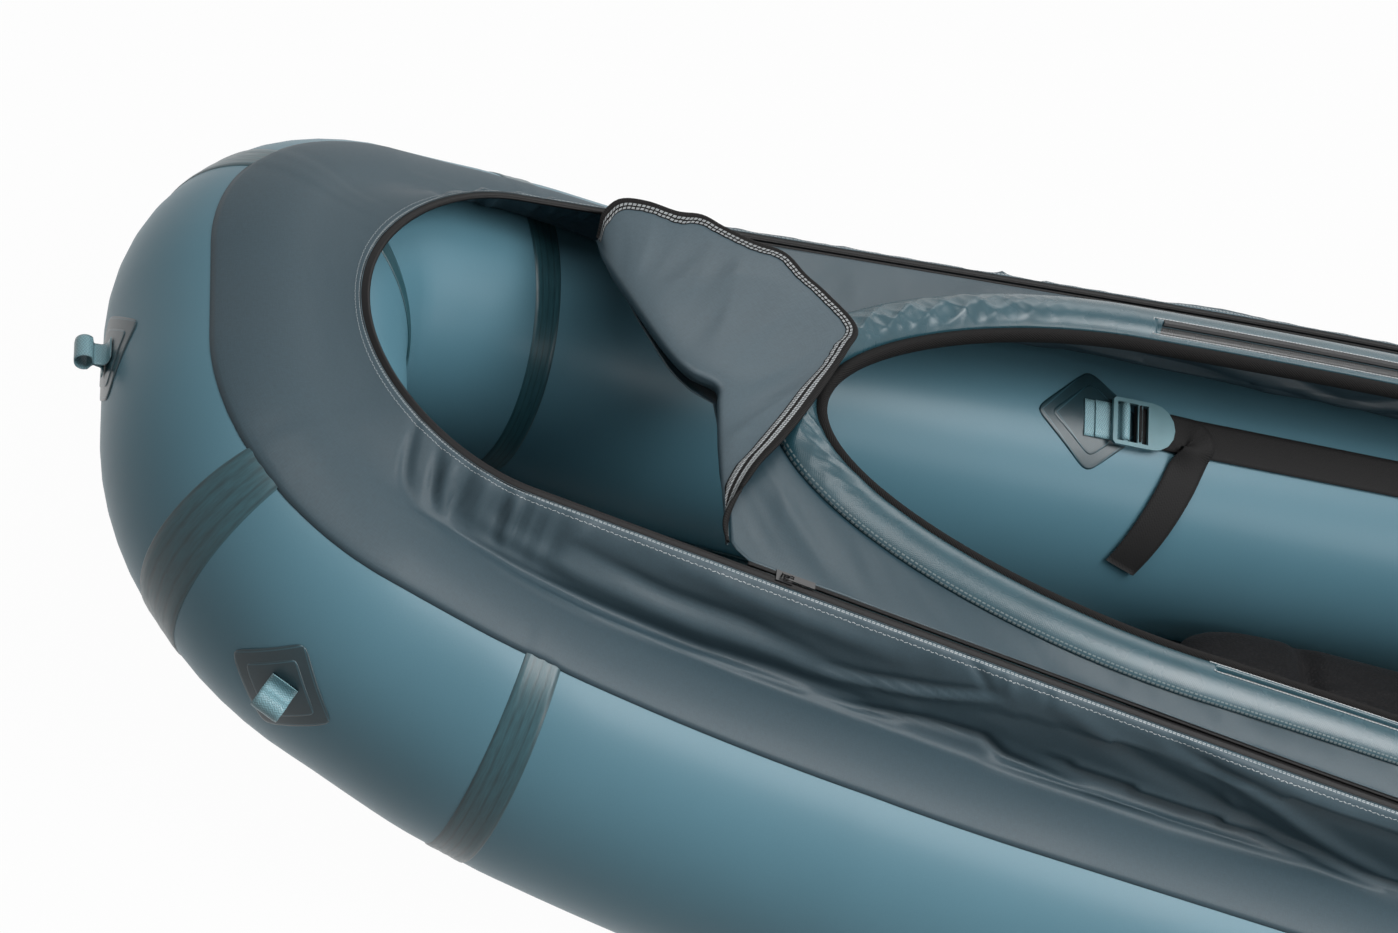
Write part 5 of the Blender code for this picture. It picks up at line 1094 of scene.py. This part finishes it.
# Moulded parts: zip sliders and pulls, ladder-locks, stiffener rods and valves. They keep the solids' own shapes
# and get a satin plastic with the fine grain of the mould.


def moulded(name, colour, rough=.32):
    """Moulded plastic with a fine spark-eroded grain and a slight variation in gloss."""
    made, tree = start(name, rough, coat=.05)
    spot = on_object(tree)
    fine = blotches(tree, spot, 1400.0, 2.0)
    broad = blotches(tree, spot, 40.0, 2.0)
    gloss = calc(tree, "MULTIPLY_ADD", broad, .14, rough - .06)
    return finished(made, tinted(tree, colour, broad, .85, 1.2), fine, .00006, .5, gloss)


FINISHES = {
    moulded("black_moulding", (0.012, 0.012, 0.013)): ("zip_slider_port", "zip_slider_starboard", "zip_pull_port",
                                                       "zip_pull_starboard", "valve_body", "valve_cap",
                                                       "top_up_valve"),
    moulded("buckle_moulding", (0.10, 0.205, 0.235), .34): ("ladder_lock_port", "ladder_lock_starboard",
                                                            "valve_plunger"),
    moulded("rod_moulding", (0.016, 0.016, 0.017), .4): ("coaming_rod_port", "coaming_rod_starboard"),
}
for material, labels in FINISHES.items():
    for label in labels:
        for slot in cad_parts[label].material_slots:
            slot.material = material

# Studio: a white backdrop and floor that camera, glossy and transmission rays see. The boat itself is lit by four
# soft lamps and a dimmer room, so that it keeps its shadow on the floor.

LAMP_AIM = Vector((.3, 0, .2))
LAMPS = (("key", (-.7, 1.0, 3.3), 1.8, 100.0), ("bow_fill", (1.5, .2, 3.1), 1.6, 32.0),
         ("far_side", (-.6, -2.8, 2.4), 1.6, 18.0), ("quarter", (-2.0, 2.2, 1.8), 1.2, 26.0))


def seen(tree):
    """1 for rays from the camera and for those reflected or passed on by a surface, and 0 for the others."""
    path = tree.nodes.new("ShaderNodeLightPath").outputs
    direct = calc(tree, "MAXIMUM", path["Is Camera Ray"], path["Is Glossy Ray"])
    return calc(tree, "MAXIMUM", direct, path["Is Transmission Ray"])


def mixed_shader(tree, share, first, second, output):
    """Sends a mix of two shaders to the output: the second one by its share."""
    mix = tree.nodes.new("ShaderNodeMixShader")
    for value, socket in zip((share, first.outputs[0], second.outputs[0]), mix.inputs):
        tree.links.new(value, socket)
    tree.links.new(mix.outputs[0], output.inputs[0])


world = bpy.data.worlds.new("room")
scene.world = world
world.use_nodes = True
tree = world.node_tree
tree.nodes.clear()
room = node(tree, "ShaderNodeBackground", Color=(1, 1, 1, 1), Strength=.15)
white = node(tree, "ShaderNodeBackground", Color=(1, 1, 1, 1), Strength=1.0)
mixed_shader(tree, seen(tree), room, white, tree.nodes.new("ShaderNodeOutputWorld"))

for label, at, size, power in LAMPS:
    lamp = bpy.data.lights.new(label, "AREA")
    lamp.size, lamp.energy = size, power
    holder = bpy.data.objects.new(label, lamp)
    holder.location = at
    holder.rotation_euler = (LAMP_AIM - Vector(at)).to_track_quat("-Z", "Y").to_euler()
    scene.collection.objects.link(holder)

mesh = bpy.data.meshes.new("floor")
mesh.from_pydata([(-14, -14, -.0005), (14, -14, -.0005), (14, 14, -.0005), (-14, 14, -.0005)], [], [(0, 1, 2, 3)])
ground_plane = bpy.data.objects.new("floor", mesh)
scene.collection.objects.link(ground_plane)
made, tree = start("floor_paint", .9)
shader = tree.nodes["Principled BSDF"]
shader.inputs["Base Color"].default_value = (.30, .30, .30, 1)
emit = node(tree, "ShaderNodeEmission", Color=(1, 1, 1, 1), Strength=1.0)
share = calc(tree, "MULTIPLY", seen(tree), .975)
mixed_shader(tree, share, shader, emit, tree.nodes["Material Output"])
mesh.materials.append(made)

scene.view_settings.view_transform = "Standard"
